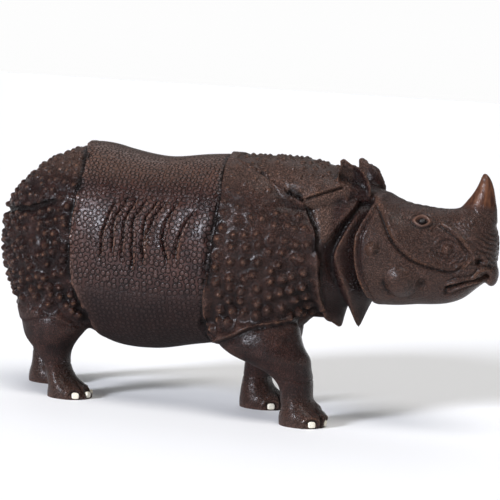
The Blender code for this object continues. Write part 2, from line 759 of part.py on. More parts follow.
def carve_feet(obj):
    """Grooves between the toes and a soft arch over each nail."""
    co, no = read_skin(obj)
    depth = np.zeros(len(co))
    low = ramp(17, 11, co[:, 2])
    for _, x, y, turn in FEET:
        across = co[:, 0] - x, co[:, 1] - y
        near = (np.hypot(*across) < 36) * low
        flip = 1 if y < 0 else -1
        heading = np.degrees(np.arctan2(across[1] * flip, across[0])) - turn * flip
        for groove in TOE_GROOVES:
            off = np.radians((heading - groove + 180) % 360 - 180) * 22
            depth -= near * 2.0 * bell(off, 1.7)
        for _, toe in TOES:
            off = np.radians((heading - toe + 180) % 360 - 180) * 22
            arch = np.hypot(off / 1.25, co[:, 2] - 3)
            depth += near * 0.9 * bell(arch - 5.6, 1.5)
    write_skin(obj, co + no * depth[:, None])


def flat_soles(obj):
    """Cuts the feet level with the ground and closes the cut."""
    mesh = bmesh.new()
    mesh.from_mesh(obj.data)
    geometry = mesh.verts[:] + mesh.edges[:] + mesh.faces[:]
    cut = bmesh.ops.bisect_plane(mesh, geom=geometry, dist=1e-6, plane_co=(0, 0, 0), plane_no=(0, 0, -1),
                                 clear_outer=True)
    edges = [e for e in cut["geom_cut"] if isinstance(e, bmesh.types.BMEdge)]
    bmesh.ops.edgeloop_fill(mesh, edges=edges)
    bmesh.ops.triangulate(mesh, faces=mesh.faces[:])
    bmesh.ops.recalc_face_normals(mesh, faces=mesh.faces)
    mesh.to_mesh(obj.data)
    mesh.free()


def reduce(obj, triangles):
    obj.data.calc_loop_triangles()
    decimate = obj.modifiers.new("reduce", "DECIMATE")
    decimate.ratio = triangles / len(obj.data.loop_triangles)
    apply_modifiers(obj)


def nail_rings(half_width, half_height, levels):
    """Rings of a toenail: flat at its foot, arched above; each level gives a depth and a share of the outline."""
    rings = []
    for depth, share in levels:
        ring = []
        for k in range(12):
            angle = 2 * math.pi * k / 12
            c, s = rounded(angle, 0.75 if math.sin(angle) > 0 else 0.45)
            ring.append((c * half_width * share, s * half_height * share, depth))
        rings.append(ring)
    return np.array(rings)


def placed(name, rings, frame):
    """A loft of rings given in a frame's own axes: across, up and out."""
    centre, across, up, out = frame
    points = rings[..., :1] * across + rings[..., 1:2] * up + rings[..., 2:3] * out + centre
    return loft(name, points)


def nail_frames(body):
    """Where each nail sits: on the skin, level, facing out from its toe."""
    frames = {}
    up = np.array([0.0, 0.0, 1.0])
    height = NAIL_LIFT + NAIL_HEIGHT / 2
    for foot, x, y, turn in FEET:
        flip = 1 if y < 0 else -1
        for toe, angle in TOES:
            heading = math.radians(turn + flip * angle)
            out = np.array([math.cos(heading), math.sin(heading), 0])
            across = np.cross(up, out)
            start = np.array([x * MM, y * MM, height]) + out * 60 * MM
            hit, spot, _, _ = body.ray_cast(Vector(start), Vector(-out))
            if not hit:
                raise ValueError("no skin under the nail of " + foot)
            frames["toenail_" + foot + "_" + toe] = (np.array(spot), across, up, out)
    return frames


def inlay_nails(body):
    """Cuts a pocket for each nail and sets the nail in it, with the clearance all round."""
    frames = nail_frames(body)
    half_width, half_height = NAIL_WIDTH / 2, NAIL_HEIGHT / 2
    for name, frame in frames.items():
        levels = ((-NAIL_DEPTH - NAIL_CLEARANCE, 1), (6 * MM, 1))
        rings = nail_rings(half_width + NAIL_CLEARANCE, half_height + NAIL_CLEARANCE, levels)
        cutter = placed("pocket", rings, frame)
        cut = body.modifiers.new("pocket", "BOOLEAN")
        cut.operation = "DIFFERENCE"
        cut.solver = "EXACT"
        cut.object = cutter
        apply_modifiers(body)
        bpy.data.objects.remove(cutter)
        levels = ((-NAIL_DEPTH, 1), (NAIL_PROUD * 0.4, 1), (NAIL_PROUD, 0.7))
        nail = placed(name, nail_rings(half_width, half_height, levels), frame)
        finish(nail, bone_material)


def surface(name, colour, roughness):
    material = bpy.data.materials.new(name)
    material.use_nodes = True
    shader = material.node_tree.nodes["Principled BSDF"]
    shader.inputs["Base Color"].default_value = colour
    shader.inputs["Roughness"].default_value = roughness
    shader.inputs["Metallic"].default_value = 0
    return material


def bone_material(name):
    return surface(name, BONE, 0.45)


def wood_material(name):
    return surface(name, WOOD, 0.4)


def finish(obj, material):
    """Shades a piece smooth but for its sharper edges, and gives it a material of its own."""
    obj.data.materials.clear()
    obj.data.materials.append(material(obj.name))
    mesh = bmesh.new()
    mesh.from_mesh(obj.data)
    for face in mesh.faces:
        face.smooth = True
    for edge in mesh.edges:
        edge.smooth = edge.calc_face_angle(0) < SHARP_EDGE
    mesh.to_mesh(obj.data)
    mesh.free()


def main():
    for obj in list(bpy.data.objects):
        bpy.data.objects.remove(obj)
    body = figure()
    body.name = "rhinoceros_body"
    carve_plates(body)
    fuse(body, VOXEL * 0.8, 1)
    carve_face(body)
    carve_feet(body)
    carve_knobs(body)
    reduce(body, BODY_TRIANGLES)
    flat_soles(body)
    inlay_nails(body)
    finish(body, wood_material)


main()
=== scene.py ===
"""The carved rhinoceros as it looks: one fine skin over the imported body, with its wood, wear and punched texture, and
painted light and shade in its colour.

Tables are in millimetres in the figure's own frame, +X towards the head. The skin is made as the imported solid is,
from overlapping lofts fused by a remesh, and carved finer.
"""

import math
import random

import bmesh
import bpy
import numpy as np
from mathutils import Matrix, Vector, kdtree


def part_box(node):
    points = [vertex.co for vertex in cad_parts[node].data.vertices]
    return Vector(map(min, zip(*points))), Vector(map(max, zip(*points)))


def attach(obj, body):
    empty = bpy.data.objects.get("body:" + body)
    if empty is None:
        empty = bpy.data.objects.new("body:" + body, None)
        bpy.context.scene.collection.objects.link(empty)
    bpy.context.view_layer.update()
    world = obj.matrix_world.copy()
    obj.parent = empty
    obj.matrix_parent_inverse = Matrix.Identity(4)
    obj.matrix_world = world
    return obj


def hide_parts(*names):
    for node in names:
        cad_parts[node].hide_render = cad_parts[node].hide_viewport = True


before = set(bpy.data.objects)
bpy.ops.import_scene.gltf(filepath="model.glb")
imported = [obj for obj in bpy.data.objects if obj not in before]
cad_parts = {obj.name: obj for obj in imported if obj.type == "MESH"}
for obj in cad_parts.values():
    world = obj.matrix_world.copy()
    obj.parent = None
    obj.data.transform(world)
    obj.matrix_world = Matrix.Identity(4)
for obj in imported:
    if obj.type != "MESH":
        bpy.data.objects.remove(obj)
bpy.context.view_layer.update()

MM = 0.001
# Voxels of the coarse and of the fine remesh in metres, and the triangles that the whole skin is brought down to
BULK_VOXEL = 0.0015
SKIN_VOXEL = 0.00075
FUSE_SMOOTHING = 8
SKIN_TRIANGLES = 700000
SKIN_PARTS = ("carved_rump", "carved_saddle", "carved_shoulders", "carved_head", "carved_hind_legs",
              "carved_forelegs")
RUMP_PART, SADDLE_PART, SHOULDERS_PART, HEAD_PART, HIND_LEGS_PART, FORELEGS_PART = range(len(SKIN_PARTS))

# Beyond everything, in millimetres
FAR = 1e3

# Colours: the wood's by what they are laid on, some of them painted light and shade, and the bone's
WOOD = {
    "dark": (0.0150, 0.0055, 0.0050, 1),
    "brown": (0.040, 0.0170, 0.0135, 1),
    # Warmer brown of the neck plate, head and nape, also laid as painted top light along the back and painted sheen on
    # the shoulders
    "warm_and_top_light": (0.092, 0.052, 0.038, 1),
    # Dark reddish brown: the tone low on the legs, and painted shade on the neck folds
    "red_and_collar_shade": (0.017, 0.0048, 0.0036, 1),
    "grain": (0.004, 0.0025, 0.002, 1),
    # Painted shade on the lower trunk between the legs
    "shade": (0.007, 0.0027, 0.0026, 1),
    # Painted highlight on the broad bulges of the skin
    "proud_highlight": (0.110, 0.060, 0.046, 1),
    # Painted shade in the broad hollows and in a ring round under the eye
    "deep": (0.0060, 0.0025, 0.0026, 1),
    # Rubbed orange of real wear on knob tips and edges, also laid as a painted highlight on the warts and the flank
    # wrinkles' crests
    "worn_and_highlight": (0.22, 0.100, 0.050, 1),
    # Painted shade in the fine creases
    "crease_shade": (0.0025, 0.0016, 0.0014, 1),
    "ring groove": (0.002, 0.0014, 0.0012, 1),
    # Painted sheen: a lighter greyish tone on the punched discs
    "ring dome sheen": (0.085, 0.060, 0.054, 1),
    "pit": (0.0025, 0.0016, 0.0013, 1),
    "horn dark": (0.030, 0.012, 0.008, 1),
    "horn light": (0.115, 0.048, 0.024, 1),
    "eye": (0.006, 0.004, 0.004, 1),
}
BONE = {"yellow": (0.70, 0.64, 0.50, 1), "white": (0.86, 0.83, 0.74, 1), "stain": (0.28, 0.20, 0.13, 1)}
# Pitch of the punched rings on the flank, and of the smaller ones above and below it; the oval they are laid round
RING_PITCHES = (5.4, 4.3)
TRUNK_HALF_WIDTH = 64
TRUNK_HALF_HEIGHT = 84
# How often a vertex's sharpness is shared with its neighbours: for fine edges, and for the broad forms
CREASE_ROUNDS = (4, 45)

# Sky: height of the direction, from 0 straight down to 1 straight up, and how bright it is there
SKY = ((0.47, 0.97), (0.53, 0.97), (0.57, 0.25), (0.8, 0.17), (0.95, 0.25))
FLOOR_REACH = 40
# Sun lamps: where their light comes from, spread in degrees, strength, colour
LAMPS = (
    ("window", (-0.45, -1.0, 0.38), 12, 4.6, (0.87, 0.90, 1)),
    ("ceiling", (0.25, -0.35, 1.0), 35, 1.6, (1, 0.98, 0.96)),
    ("far window", (-0.3, 1.0, 1.4), 40, 0.4, (0.92, 0.95, 1)),
)

# Camera of the photograph, in degrees and metres
VIEW_AZIMUTH = 20
VIEW_ELEVATION = 5
VIEW_ROLL = 3.5
VIEW_DISTANCE = 1.7
VIEW_TARGET = (0.0045, 0, 0.138)
VIEW_LENS = 144

# How square a loft's sections are: one is an ellipse, less is squarer
TRUNK_POWER = 0.9
LEG_POWER = 0.92

# Torso: x, back, belly, half width, height of the widest point
TORSO = (
    (-221, 150, 126, 10, 139),
    (-219.5, 164, 106, 23, 137),
    (-212, 178, 86, 36, 135),
    (-201, 190, 74, 45, 133),
    (-187, 203, 68, 52, 132),
    (-167, 213, 65, 58, 129),
    (-148, 220.5, 61, 61, 126),
    (-128, 220.5, 55, 63, 123),
    (-110, 216.8, 48, 64.5, 121),
    (-74, 212.5, 46.2, 65.5, 120),
    (-36, 217, 53.7, 64.5, 124),
    (-10, 219, 58.5, 63, 127),
    (20, 219, 63, 61, 129),
    (40, 214, 72, 57, 131),
    (58, 207, 84, 53, 134),
    (72, 200, 98, 51, 138),
    (82, 196, 104, 48.5, 140),
)

# The shoulder shield leans back towards its top, the more the further on between these x: height, shift at its end
SHIELD_BLEND = (30, 82)
SHIELD_LEAN = ((100, 0), (150, 0), (157, -2), (166, -6), (174, -12), (182, -17), (188, -20), (230, -24))

# Hips and shoulders: name, middle on the right-hand side as x, |y|, z, and radii
MASSES = (
    ("hip", (-164, 30, 114), (41, 31, 54)),
    ("shoulder", (27, 29, 124), (42, 32, 56)),
)

# Nape plate from the shoulders to the ears: x, top, underside, half width, height of its hem
NAPE = (
    (-14, 214, 184, 20, 200),
    (6, 218.5, 180, 30, 195),
    (30, 220.5, 176, 38, 191),
    (50, 219.8, 172, 42, 188),
    (66, 217, 170, 41, 187.5),
    (80, 213.5, 172, 37, 192.5),
    (92, 206.5, 176, 31, 197),
    (104, 202, 180, 24, 196),
    (118, 198, 184, 17, 190),
)

# Neck and its two bib folds as right-hand half rings from nape to throat, each point x, y, z; steps between two
NECK_STEPS = 4
NECK = (
    ((45, 0, 206), (45, 26, 196), (45, 38, 172), (45, 44, 148), (45, 45, 130), (45, 40, 112), (45, 30, 100),
     (45, 16, 92), (45, 0, 88)),
    ((75, 0, 205), (78, 30, 190), (76, 41, 170), (72, 45, 148), (72, 45, 130), (73, 41, 113), (74, 30, 101),
     (76, 16, 93), (78, 0, 89)),
    ((101, 0, 200), (105, 28, 186.8), (90.8, 38.5, 166.8), (80.5, 46, 146.5), (80.6, 46, 129.3), (81.3, 41, 112.6),
     (80.5, 28.5, 97.5), (84.2, 17, 87.5), (89.7, 0, 79.7)),
    ((106, 0, 197), (104, 21, 181), (95.5, 27, 163), (89, 31, 145), (90, 32, 131), (94, 28, 117), (95.5, 20, 108),
     (95, 10, 104.5), (94, 0, 103)),
    ((109, 0, 196), (106, 26, 179), (98, 36.5, 160), (93, 41, 144), (97, 40, 132), (102, 36, 118),
     (104.3, 29, 107.7), (104.5, 17, 93.5), (105.1, 0, 81.8)),
    ((112, 0, 195), (113, 20, 182), (107, 26, 164), (104.5, 28, 148), (105.5, 28, 136), (108.5, 25, 124),
     (112, 18, 113), (114, 10, 107), (114, 0, 105)),
    ((126, 0, 188), (126, 12, 178), (126, 18, 165), (126, 20, 150), (126, 20, 138), (126, 17, 128), (126, 12, 120),
     (126, 7, 116), (126, 0, 115)),
)

# Head: x, brow line, throat line, half width, height of the widest point
HEAD = (
    (122, 184, 122, 24, 152),
    (118.3, 194, 108, 34, 149),
    (118, 196.5, 104.5, 36.5, 148),
    (120, 197, 103.5, 38, 147),
    (128, 194, 103.5, 38, 144),
    (142, 189.5, 104.5, 35, 142),
    (156, 188, 106.5, 31, 146),
    (168, 187, 107.5, 28, 149),
    (180, 187.5, 109.5, 25.5, 150),
    (192, 190.5, 114.5, 23.5, 152),
    (203, 189, 124, 21.5, 154),
    (211, 183, 131, 17.5, 155),
    (216, 174, 138, 12, 156),
    (218.5, 166, 146, 5, 156),
)

# The cheek's back edge: height, x
CHEEK_EDGE = ((103, 118.5), (108, 118.5), (116, 115.3), (126, 111.5), (137, 108.8), (150, 107.4), (161, 107.7),
              (171, 111.5), (182, 116.4), (191, 118), (200, 120))
# The head's loft ends level at CHEEK_BACK and is bent to the cheek's edge from CHEEK_BLEND on
CHEEK_BACK = 118
CHEEK_BLEND = 150
UPPER_LIP = (215, 0, 136.5)
UPPER_LIP_SIZE = (5.4, 9.5, 10)

# Horn: height, x, y, half length along the nose, half thickness
HORN = (
    (178, 199, 0, 17.5, 14),
    (184, 199.5, 0, 16.5, 12.5),
    (189, 200.7, 0, 14.8, 11),
    (194, 202, 0, 12.4, 9.4),
    (200, 203.6, 0, 9.6, 7.8),
    (206, 204.6, 0, 7.2, 6.1),
    (212, 204.6, 0, 4.8, 4.3),
    (216, 204, 0, 2.9, 2.8),
    (218.3, 203.4, 0, 1.2, 1.2),
)

# Tail, a short one that lies against the rump and ends in a tuft: height, x, y, half length, half width
TAIL = (
    (160, -213, 0, 5.5, 7),
    (150, -217.5, 0, 5.5, 6.5),
    (134, -219.5, 0, 4.8, 5.2),
    (116, -218.5, 0, 4.6, 4.6),
    (100, -214.5, 0, 5, 5),
    (88, -209, 0, 6, 6.4),
    (79, -203.5, 0, 5.2, 5.6),
    (73, -199, 0, 2.4, 2.8),
)

# Legs: height, x, y, half length, half width
FORELEG_NEAR = (
    (-3, 71.2, -33, 18.2, 18.5),
    (3, 71.8, -33, 19.8, 19.5),
    (9, 72.2, -33, 20.2, 19.2),
    (14, 70, -33, 16.2, 17),
    (20, 65.5, -33, 13.4, 15),
    (29, 64.7, -33.5, 13.4, 14.6),
    (38, 61.2, -34, 16.6, 16.2),
    (47, 51.3, -35.5, 24.9, 19.5),
    (55, 40.2, -37, 35.7, 23),
    (64, 30.6, -37, 39, 24.5),
    (76, 27.5, -36, 38, 24),
    (92, 26, -34, 37, 22),
    (115, 25, -32, 34, 20),
)
FORELEG_FAR = (
    (-3, 13, 33, 18.2, 18.5),
    (3, 13.5, 33, 19.8, 19.5),
    (9, 13.8, 33, 20, 19.2),
    (14, 10.4, 33, 16.4, 17),
    (20, 7.4, 33, 12.8, 15),
    (29, 7.2, 33.5, 11.6, 14.6),
    (38, 9, 34, 13, 16.2),
    (48, 14.5, 35, 18.5, 18),
    (58, 18, 36, 23, 22),
    (70, 18, 36, 26, 23),
    (90, 19, 34, 28, 22),
    (115, 22, 32, 30, 20),
)
HINDLEG_NEAR = (
    (-3, -141, -33, 18.6, 18.5),
    (3, -141, -33, 19.4, 19.5),
    (9, -143.3, -33, 16, 18.6),
    (15, -148.6, -33, 12.4, 16.5),
    (21, -151.6, -33, 11, 14.6),
    (29, -154.8, -33.5, 11.5, 14.4),
    (38, -158, -34, 15, 16.2),
    (49, -160, -35, 22.6, 20),
    (60, -158, -35, 30.5, 23),
    (75, -159.5, -34, 36, 25),
    (100, -167, -31, 36, 24),
    (120, -166, -28, 34, 22),
)
HINDLEG_FAR = (
    (-3, -190.2, 33, 20.2, 18.5),
    (3, -189.8, 33, 21.6, 19.5),
    (9, -190.8, 33, 20, 18.8),
    (15, -193.8, 33, 15.4, 16.5),
    (21, -196.2, 33, 12.6, 14.6),
    (29, -196.6, 33.5, 12.4, 14.4),
    (38, -194.5, 34, 14.8, 16.2),
    (49, -188.5, 35, 21, 20),
    (60, -181, 35, 26, 23),
    (75, -173, 34, 32, 25),
    (100, -167, 31, 36, 24),
    (120, -166, 28, 34, 22),
)
LEGS = (
    ("fore_right", FORELEG_NEAR),
    ("fore_left", FORELEG_FAR),
    ("hind_right", HINDLEG_NEAR),
    ("hind_left", HINDLEG_FAR),
)

# Ears: base, tip, direction of the opening, half width, depth of the cup
EAR_BASE = (108, 25, 189)
EAR_TIP = (90, 28, 222)
EAR_OPENING = (0.35, 0.94, 0.05)
EAR_HALF_WIDTH = 11
EAR_DEPTH = 9
EAR_THICKNESS = 3
EAR_RIB_PITCH = 2.9

# Armour. The girth angle runs from 0 at the spine to 180 at the belly, about a line at this height
AXIS_HEIGHT = 128
# Saddle's rear hem and its front one under the shoulder shield: girth angle, x
REAR_HEM = ((0, -148), (10, -145), (19, -139.5), (32, -134.5), (47, -135.6), (68, -137.2), (90, -137),
            (103, -135.8), (112, -133.6), (124, -130.2), (135, -127.2), (145, -121), (180, -118))
SHOULDER_HEM = ((0, -17), (7, -13.3), (44, -5.5), (64, -6.1), (73, -7.5), (96, -9.9), (109, -12.3), (119, -13.6),
                (166, -16.5), (180, -17))
# Shoulder shield's front edge: height, x; its hem over the foreleg: x, height
SHIELD_FRONT = ((98, 83), (139, 82), (154, 80), (166, 76), (174, 70), (181, 65.5), (187.6, 62), (191.7, 51.6),
                (197.4, 41), (204, 28.4), (209, 16.6), (213.4, 4), (216, -4), (225, -8))
SHIELD_HEM = ((-17, 58), (6, 66.7), (16.6, 71.5), (28.6, 78.5), (41.7, 82.2), (52.4, 84.5), (75, 91.4), (83, 97))
# Fold across the rump: x, height
HIP_FOLD = ((-225, 157), (-203, 158.8), (-190, 161), (-180, 162.5), (-169, 166), (-159, 170), (-150, 174))
# Height of the rump's hem over the thigh
THIGH_HEM = 67
# Back of the forelegs; where the flank begins, away from the middle plane; where the rims fade towards the belly
FORELEG_BACK = -16
OUTER_SIDE = (20, 32)
BELLY_FADE = (48, 60)
# Wrinkles of the flank: girth angles, and for each wrinkle its x there, then the angles where it starts and ends
WRINKLE_ANGLES = (48, 60, 72, 86)
FLANK_WRINKLES = (
    (-95.5, -101.5, -105, -105.5, 49, 92),
    (-87, -94.6, -96.3, -94, 46, 88),
    (-79, -85.3, -86, -85.6, 46, 92),
    (-69.6, -77.6, -78, -76, 46, 98),
    (-60, -67.4, -68.5, -66.5, 47, 92),
    (-52.4, -60, -64.8, -65, 48, 84),
    (-42, -47.8, -51.2, -45.5, 47, 90),
    (-22, -30.5, -36.5, -37.3, 53, 87),
)
NAPE_HEM = ((63, 187), (65.7, 187.3), (70.1, 189.8), (76.3, 192.3), (82.2, 194.7), (86.5, 196.2), (92, 199))

# Knobs, and the soft mounds that they stand on
KNOB_SPACING = 9.4
SHOULDER_KNOB_SPACING = 11.6
NAPE_KNOB_SPACING = 7.6
MOUND_RADIUS = 8.0
MOUND_SPREAD = 4.2
KNOB_JITTER = 2.3
KNOB_GAP = 6
# For each zone heights above the ground, and at those the knob's radius, its height and its mound's height
KNOB_SIZES = {
    "rump": ((60, 100, 150, 175, 215), (3.9, 4.0, 3.8, 3.4, 3.0), (2.0, 2.3, 2.1, 1.6, 1.3), (2.2, 2.6, 2.2, 1.4, 0.8)),
    "shoulder": ((60, 100, 150, 178, 210), (4.2, 4.2, 3.8, 2.9, 2.4), (2.1, 2.1, 1.9, 1.2, 0.8),
                 (2.8, 2.8, 2.2, 0.9, 0.3)),
    "nape": ((60, 100, 150, 178, 220), (2.6, 2.6, 2.6, 2.6, 2.4), (1.0, 1.0, 1.0, 1.1, 1.4), (0, 0, 0, 0.2, 0.3)),
}

# Face, as points on the right-hand side. It is carved from FACE_START on, and its wear judged from HEAD_START on
FACE_START = 98
HEAD_START = 100
EYE = (159.6, 23.4, 176.9)
EYE_ALONG = (0.985, -0.165, -0.05)
EYE_UP = (-0.035, -0.46, 0.887)
EYE_HALF_LENGTH = 4.6
EYE_HALF_HEIGHT = 3.3
CHEEK_FOLD = ((119.3, 19.5, 192.1), (129, 26.4, 180), (137.2, 30.8, 166.2), (145.9, 31.9, 155.6),
              (155.1, 30.1, 148.5), (166.2, 26.6, 144), (178.4, 24.7, 141.3), (186.6, 22.2, 139.9),
              (193.5, 21.9, 141.5), (199.9, 22.9, 148.7), (203.2, 21.3, 154.3))
NOSE_RIDGE = ((176.3, 20.9, 176.3), (184.9, 22.8, 171.8), (193.9, 23.6, 164.9), (200.7, 22.2, 157.4))
UPPER_LIP_EDGE = ((183.5, 19.6, 127.2), (193, 18.3, 131.2), (202.3, 15.6, 133.1), (209, 16.9, 139.3),
                  (213.4, 12.9, 141.1), (216, 9.2, 139.3))
MOUTH = ((185, 19.4, 123.2), (193, 19, 127.2), (202.8, 16.3, 130.7), (209.7, 10.8, 132.2), (213.1, 8.5, 134.8))
MOUTH_CORNER = ((186.5, 19.6, 126.5), (183.6, 20.2, 124), (182.6, 20, 120.4), (183, 19.4, 117.6))
EYE_FOLD = ((168.2, 20.5, 182.5), (170.6, 21.6, 178), (170.3, 23.4, 173.4), (167.6, 25.6, 169.8))
EYE_CORNER = ((149.5, 24.6, 173.2), (146.8, 25.4, 175.2), (144.4, 25.6, 178.4))
JAW_CREASE = ((144.1, 33.6, 139.7), (150, 32, 138), (154.5, 30.6, 135.3))
NOSTRIL_ARCH = ((197.2, 23.3, 141.7), (201.8, 23.3, 147), (205.9, 21.1, 150.5), (209.3, 20.4, 152.7),
                (213.1, 16.5, 150), (213.6, 13.9, 145.8))
HORN_BOSS = (194, 17, 181)
# Lines of the face: the points, a shift, how far they stand up (below zero: are cut in) and their width
UNDER_CHEEK_FOLD = (-2.4, 0.4, -3.2)
OVER_CHEEK_FOLD = (2.6, -0.4, 3.6)
FACE_STROKES = (
    (EYE_FOLD, (0, 0, 0), -0.9, 1.1),
    (EYE_CORNER, (0, 0, 0), -0.6, 0.7),
    (EYE_CORNER, (0, 0, 2.6), -0.6, 0.7),
    (CHEEK_FOLD, (0, 0, 0), 1.4, 1.9),
    (CHEEK_FOLD, UNDER_CHEEK_FOLD, -1.8, 1.3),
    (CHEEK_FOLD[4:9], (4.5, -0.5, 6.2), -0.8, 0.9),
    (CHEEK_FOLD[4:9], (6.4, -0.5, 9.2), -0.8, 0.9),
    (CHEEK_FOLD[4:9], (8.3, -0.5, 12.2), -0.8, 0.9),
    (NOSE_RIDGE, (0, 0, 0), 1.4, 1.8),
    (NOSE_RIDGE, (-2.0, 0.3, -2.8), -1.3, 1.1),
    (NOSE_RIDGE, (2.2, -0.4, 3.0), -0.5, 0.9),
    (UPPER_LIP_EDGE, (0, 0, 0), 1.9, 1.8),
    (UPPER_LIP_EDGE, (-0.5, 0, 3.4), -1.0, 0.9),
    (MOUTH, (0, 0, 0), -3.0, 1.7),
    (MOUTH[:4], (0.5, 0, -3.6), 1.7, 1.7),
    (MOUTH[:4], (0.5, 0, -7.0), -1.2, 1.3),
    (MOUTH_CORNER, (0, 0, 0), -2.2, 1.4),
    (JAW_CREASE, (0, 0, 0), -0.7, 0.9),
    (JAW_CREASE, (1.2, 0, 2.6), -0.6, 0.8),
    (NOSTRIL_ARCH, (0, 0, 0), 1.7, 1.4),
)
# Bumps and pits: middle, stretch along each axis, radius, height (below zero: depth)
WART = ((182.9, 27.1, 155.7), (1, 1, 1), 5.8, 4.3)
CHEEK_WART = ((123.2, 37.4, 151.5), (1, 1, 1), 6.4, 4.6)
JOWL = ((148.1, 32, 124.8), (1, 1, 1), 15, 5.4)
FACE_DOMES = (
    WART,
    CHEEK_WART,
    JOWL,
    ((171, 26, 121), (1, 1, 1), 9, 0.8),
    ((160, 17, 187), (1, 1, 1), 11, 1.2),
    ((210.6, 8.7, 135.4), (1.2, 1, 0.8), 4.2, -3.0),
    ((164.6, 25.3, 125.8), (1, 1, 1), 6, -1.9),
    ((208, 17.6, 146.6), (1.3, 1, 1), 3.6, -4.0),
)
# Wrinkles round the wart: distance from it, depth
WART_RINGS = ((8.2, 1.1), (10.8, 1.0), (13.4, 0.9), (16.2, 0.6))
MUZZLE_PITCH = 4.3
HAIR_PITCH = 2.6
FOREHEAD_PITCH = 6.5
# Lines of the face that wear has made lighter: the points, their width, how much lighter
LIT_LINES = ((UPPER_LIP_EDGE, 1.3, 0.95), (NOSTRIL_ARCH, 1.2, 0.8), (NOSE_RIDGE, 1.3, 0.7), (CHEEK_FOLD, 1.5, 0.7))

# Feet: name, x and y of the middle, degrees that they turn
FEET = (
    ("front_right", 69, -33, 6),
    ("front_left", 11.5, 33, 0),
    ("hind_right", -140, -33, -5),
    ("hind_left", -191, 33, 0),
)
TOES = (("outer", -48), ("middle", 0), ("inner", 48))
TOE_GROOVES = (-24, 24)
# Creases round the ankles: x of the leg, side, height, depth
LEG_CREASES = ((74, -1, 37.5, 0.6), (8, 1, 27, 0.5), (-153, -1, 28, 0.5), (-197, 1, 28, 0.5))


def travel(points):
    """How far along a line each of its points is."""
    return np.concatenate([[0], np.cumsum(np.linalg.norm(np.diff(points, axis=0), axis=1))])


def smooth_rows(rows, count):
    """Rows of a table, smoothly interpolated to count rows that are evenly spaced along it."""
    rows = np.array(rows, float)
    at = travel(rows)
    slopes = np.gradient(rows, at, axis=0)
    t = np.linspace(0, at[-1], count)
    i = np.clip(np.searchsorted(at, t, side="right") - 1, 0, len(rows) - 2)
    span = (at[i + 1] - at[i])[:, None]
    u = (t - at[i])[:, None] / span
    return (
        rows[i] * (1 + 2 * u) * (1 - u) ** 2
        + slopes[i] * span * u * (1 - u) ** 2
        + rows[i + 1] * u * u * (3 - 2 * u)
        + slopes[i + 1] * span * u * u * (u - 1)
    )


def linked(name, data):
    """A new object in the scene that shows this data."""
    obj = bpy.data.objects.new(name, data)
    bpy.context.scene.collection.objects.link(obj)
    return obj


def mesh_object(name, points, faces):
    mesh = bpy.data.meshes.new(name)
    mesh.from_pydata([tuple(p) for p in points], [], faces)
    return linked(name, mesh)


def loft(name, rings):
    """A closed skin over rings with equal numbers of points, each end closed by a fan to its middle."""
    rings = np.asarray(rings, float)
    count, around = rings.shape[:2]
    points = list(rings.reshape(-1, 3)) + [rings[0].mean(0), rings[-1].mean(0)]
    first, last = count * around, count * around + 1
    faces = []
    for j in range(around):
        k = (j + 1) % around
        faces.append((first, k, j))
        faces.append((last, (count - 1) * around + j, (count - 1) * around + k))
        for i in range(count - 1):
            faces.append((i * around + j, i * around + k, (i + 1) * around + k, (i + 1) * around + j))
    obj = mesh_object(name, points, faces)
    outward(obj)
    return obj


def outward(obj):
    """Turns all faces of a closed mesh to point out."""
    mesh = bmesh.new()
    mesh.from_mesh(obj.data)
    bmesh.ops.recalc_face_normals(mesh, faces=mesh.faces)
    if mesh.calc_volume(signed=True) < 0:
        bmesh.ops.reverse_faces(mesh, faces=mesh.faces)
    mesh.to_mesh(obj.data)
    mesh.free()


def rounded(angle, power):
    """Cosine and sine of an angle, squared off into a superellipse."""
    c, s = math.cos(angle), math.sin(angle)
    return math.copysign(abs(c) ** power, c), math.copysign(abs(s) ** power, s)


def finished(name, mesh):
    """A bmesh as a new object."""
    data = bpy.data.meshes.new(name)
    mesh.to_mesh(data)
    mesh.free()
    return linked(name, data)


def full_turn(around):
    return [2 * math.pi * k / around for k in range(around)]


def section(x, top, bottom, half, widest, angles, power):
    """Points of a cut through a loft along X, at angles from its top."""
    points = []
    for angle in angles:
        c, s = rounded(angle, power)
        reach = top - widest if c > 0 else widest - bottom
        points.append((x, s * half, widest + c * reach))
    return points


def lengthwise(name, rows, power=TRUNK_POWER, stations=72, around=72):
    """A loft along X: each row gives x, top, bottom, half width and the height of the widest point."""
    rings = [section(*row, full_turn(around), power) for row in smooth_rows(rows, stations)]
    return loft(name, np.array(rings) * MM)


def upright(name, rows, power=LEG_POWER, stations=48, around=40):
    """A loft along Z: each row gives height, x, y and the two half widths."""
    turns = [rounded(angle, power) for angle in full_turn(around)]
    rings = [[(x + c * half_x, y + s * half_y, z) for c, s in turns]
             for z, x, y, half_x, half_y in smooth_rows(rows, stations)]
    return loft(name, np.array(rings) * MM)


def smooth_between(pairs, at):
    """A value read off a short table of pairs, at an array of places."""
    pairs = np.array(pairs, float)
    return np.interp(at, pairs[:, 0], pairs[:, 1])


def ramp(low, high, at):
    """Zero at low, one at high, with a smooth rise between."""
    t = np.clip((at - low) / (high - low), 0, 1)
    return t * t * (3 - 2 * t)


def mirrored_ring(half, per_span=6):
    """A closed ring from its right-hand half: spans smoothly rounded, then mirrored across Y."""
    half = np.array(half, float)
    mirror = np.array([1, -1, 1])
    padded = np.vstack([half[1] * mirror, half, half[-2] * mirror])
    points = []
    for i in range(1, len(padded) - 2):
        p0, p1, p2, p3 = padded[i - 1:i + 3]
        for k in range(per_span):
            t = k / per_span
            points.append(
                0.5 * (2 * p1 + (p2 - p0) * t + (2 * p0 - 5 * p1 + 4 * p2 - p3) * t * t
                       + (3 * p1 - p0 - 3 * p2 + p3) * t ** 3)
            )
    points.append(half[-1])
    right = np.array(points)
    left = right[1:-1][::-1] * mirror
    return np.vstack([right, left])


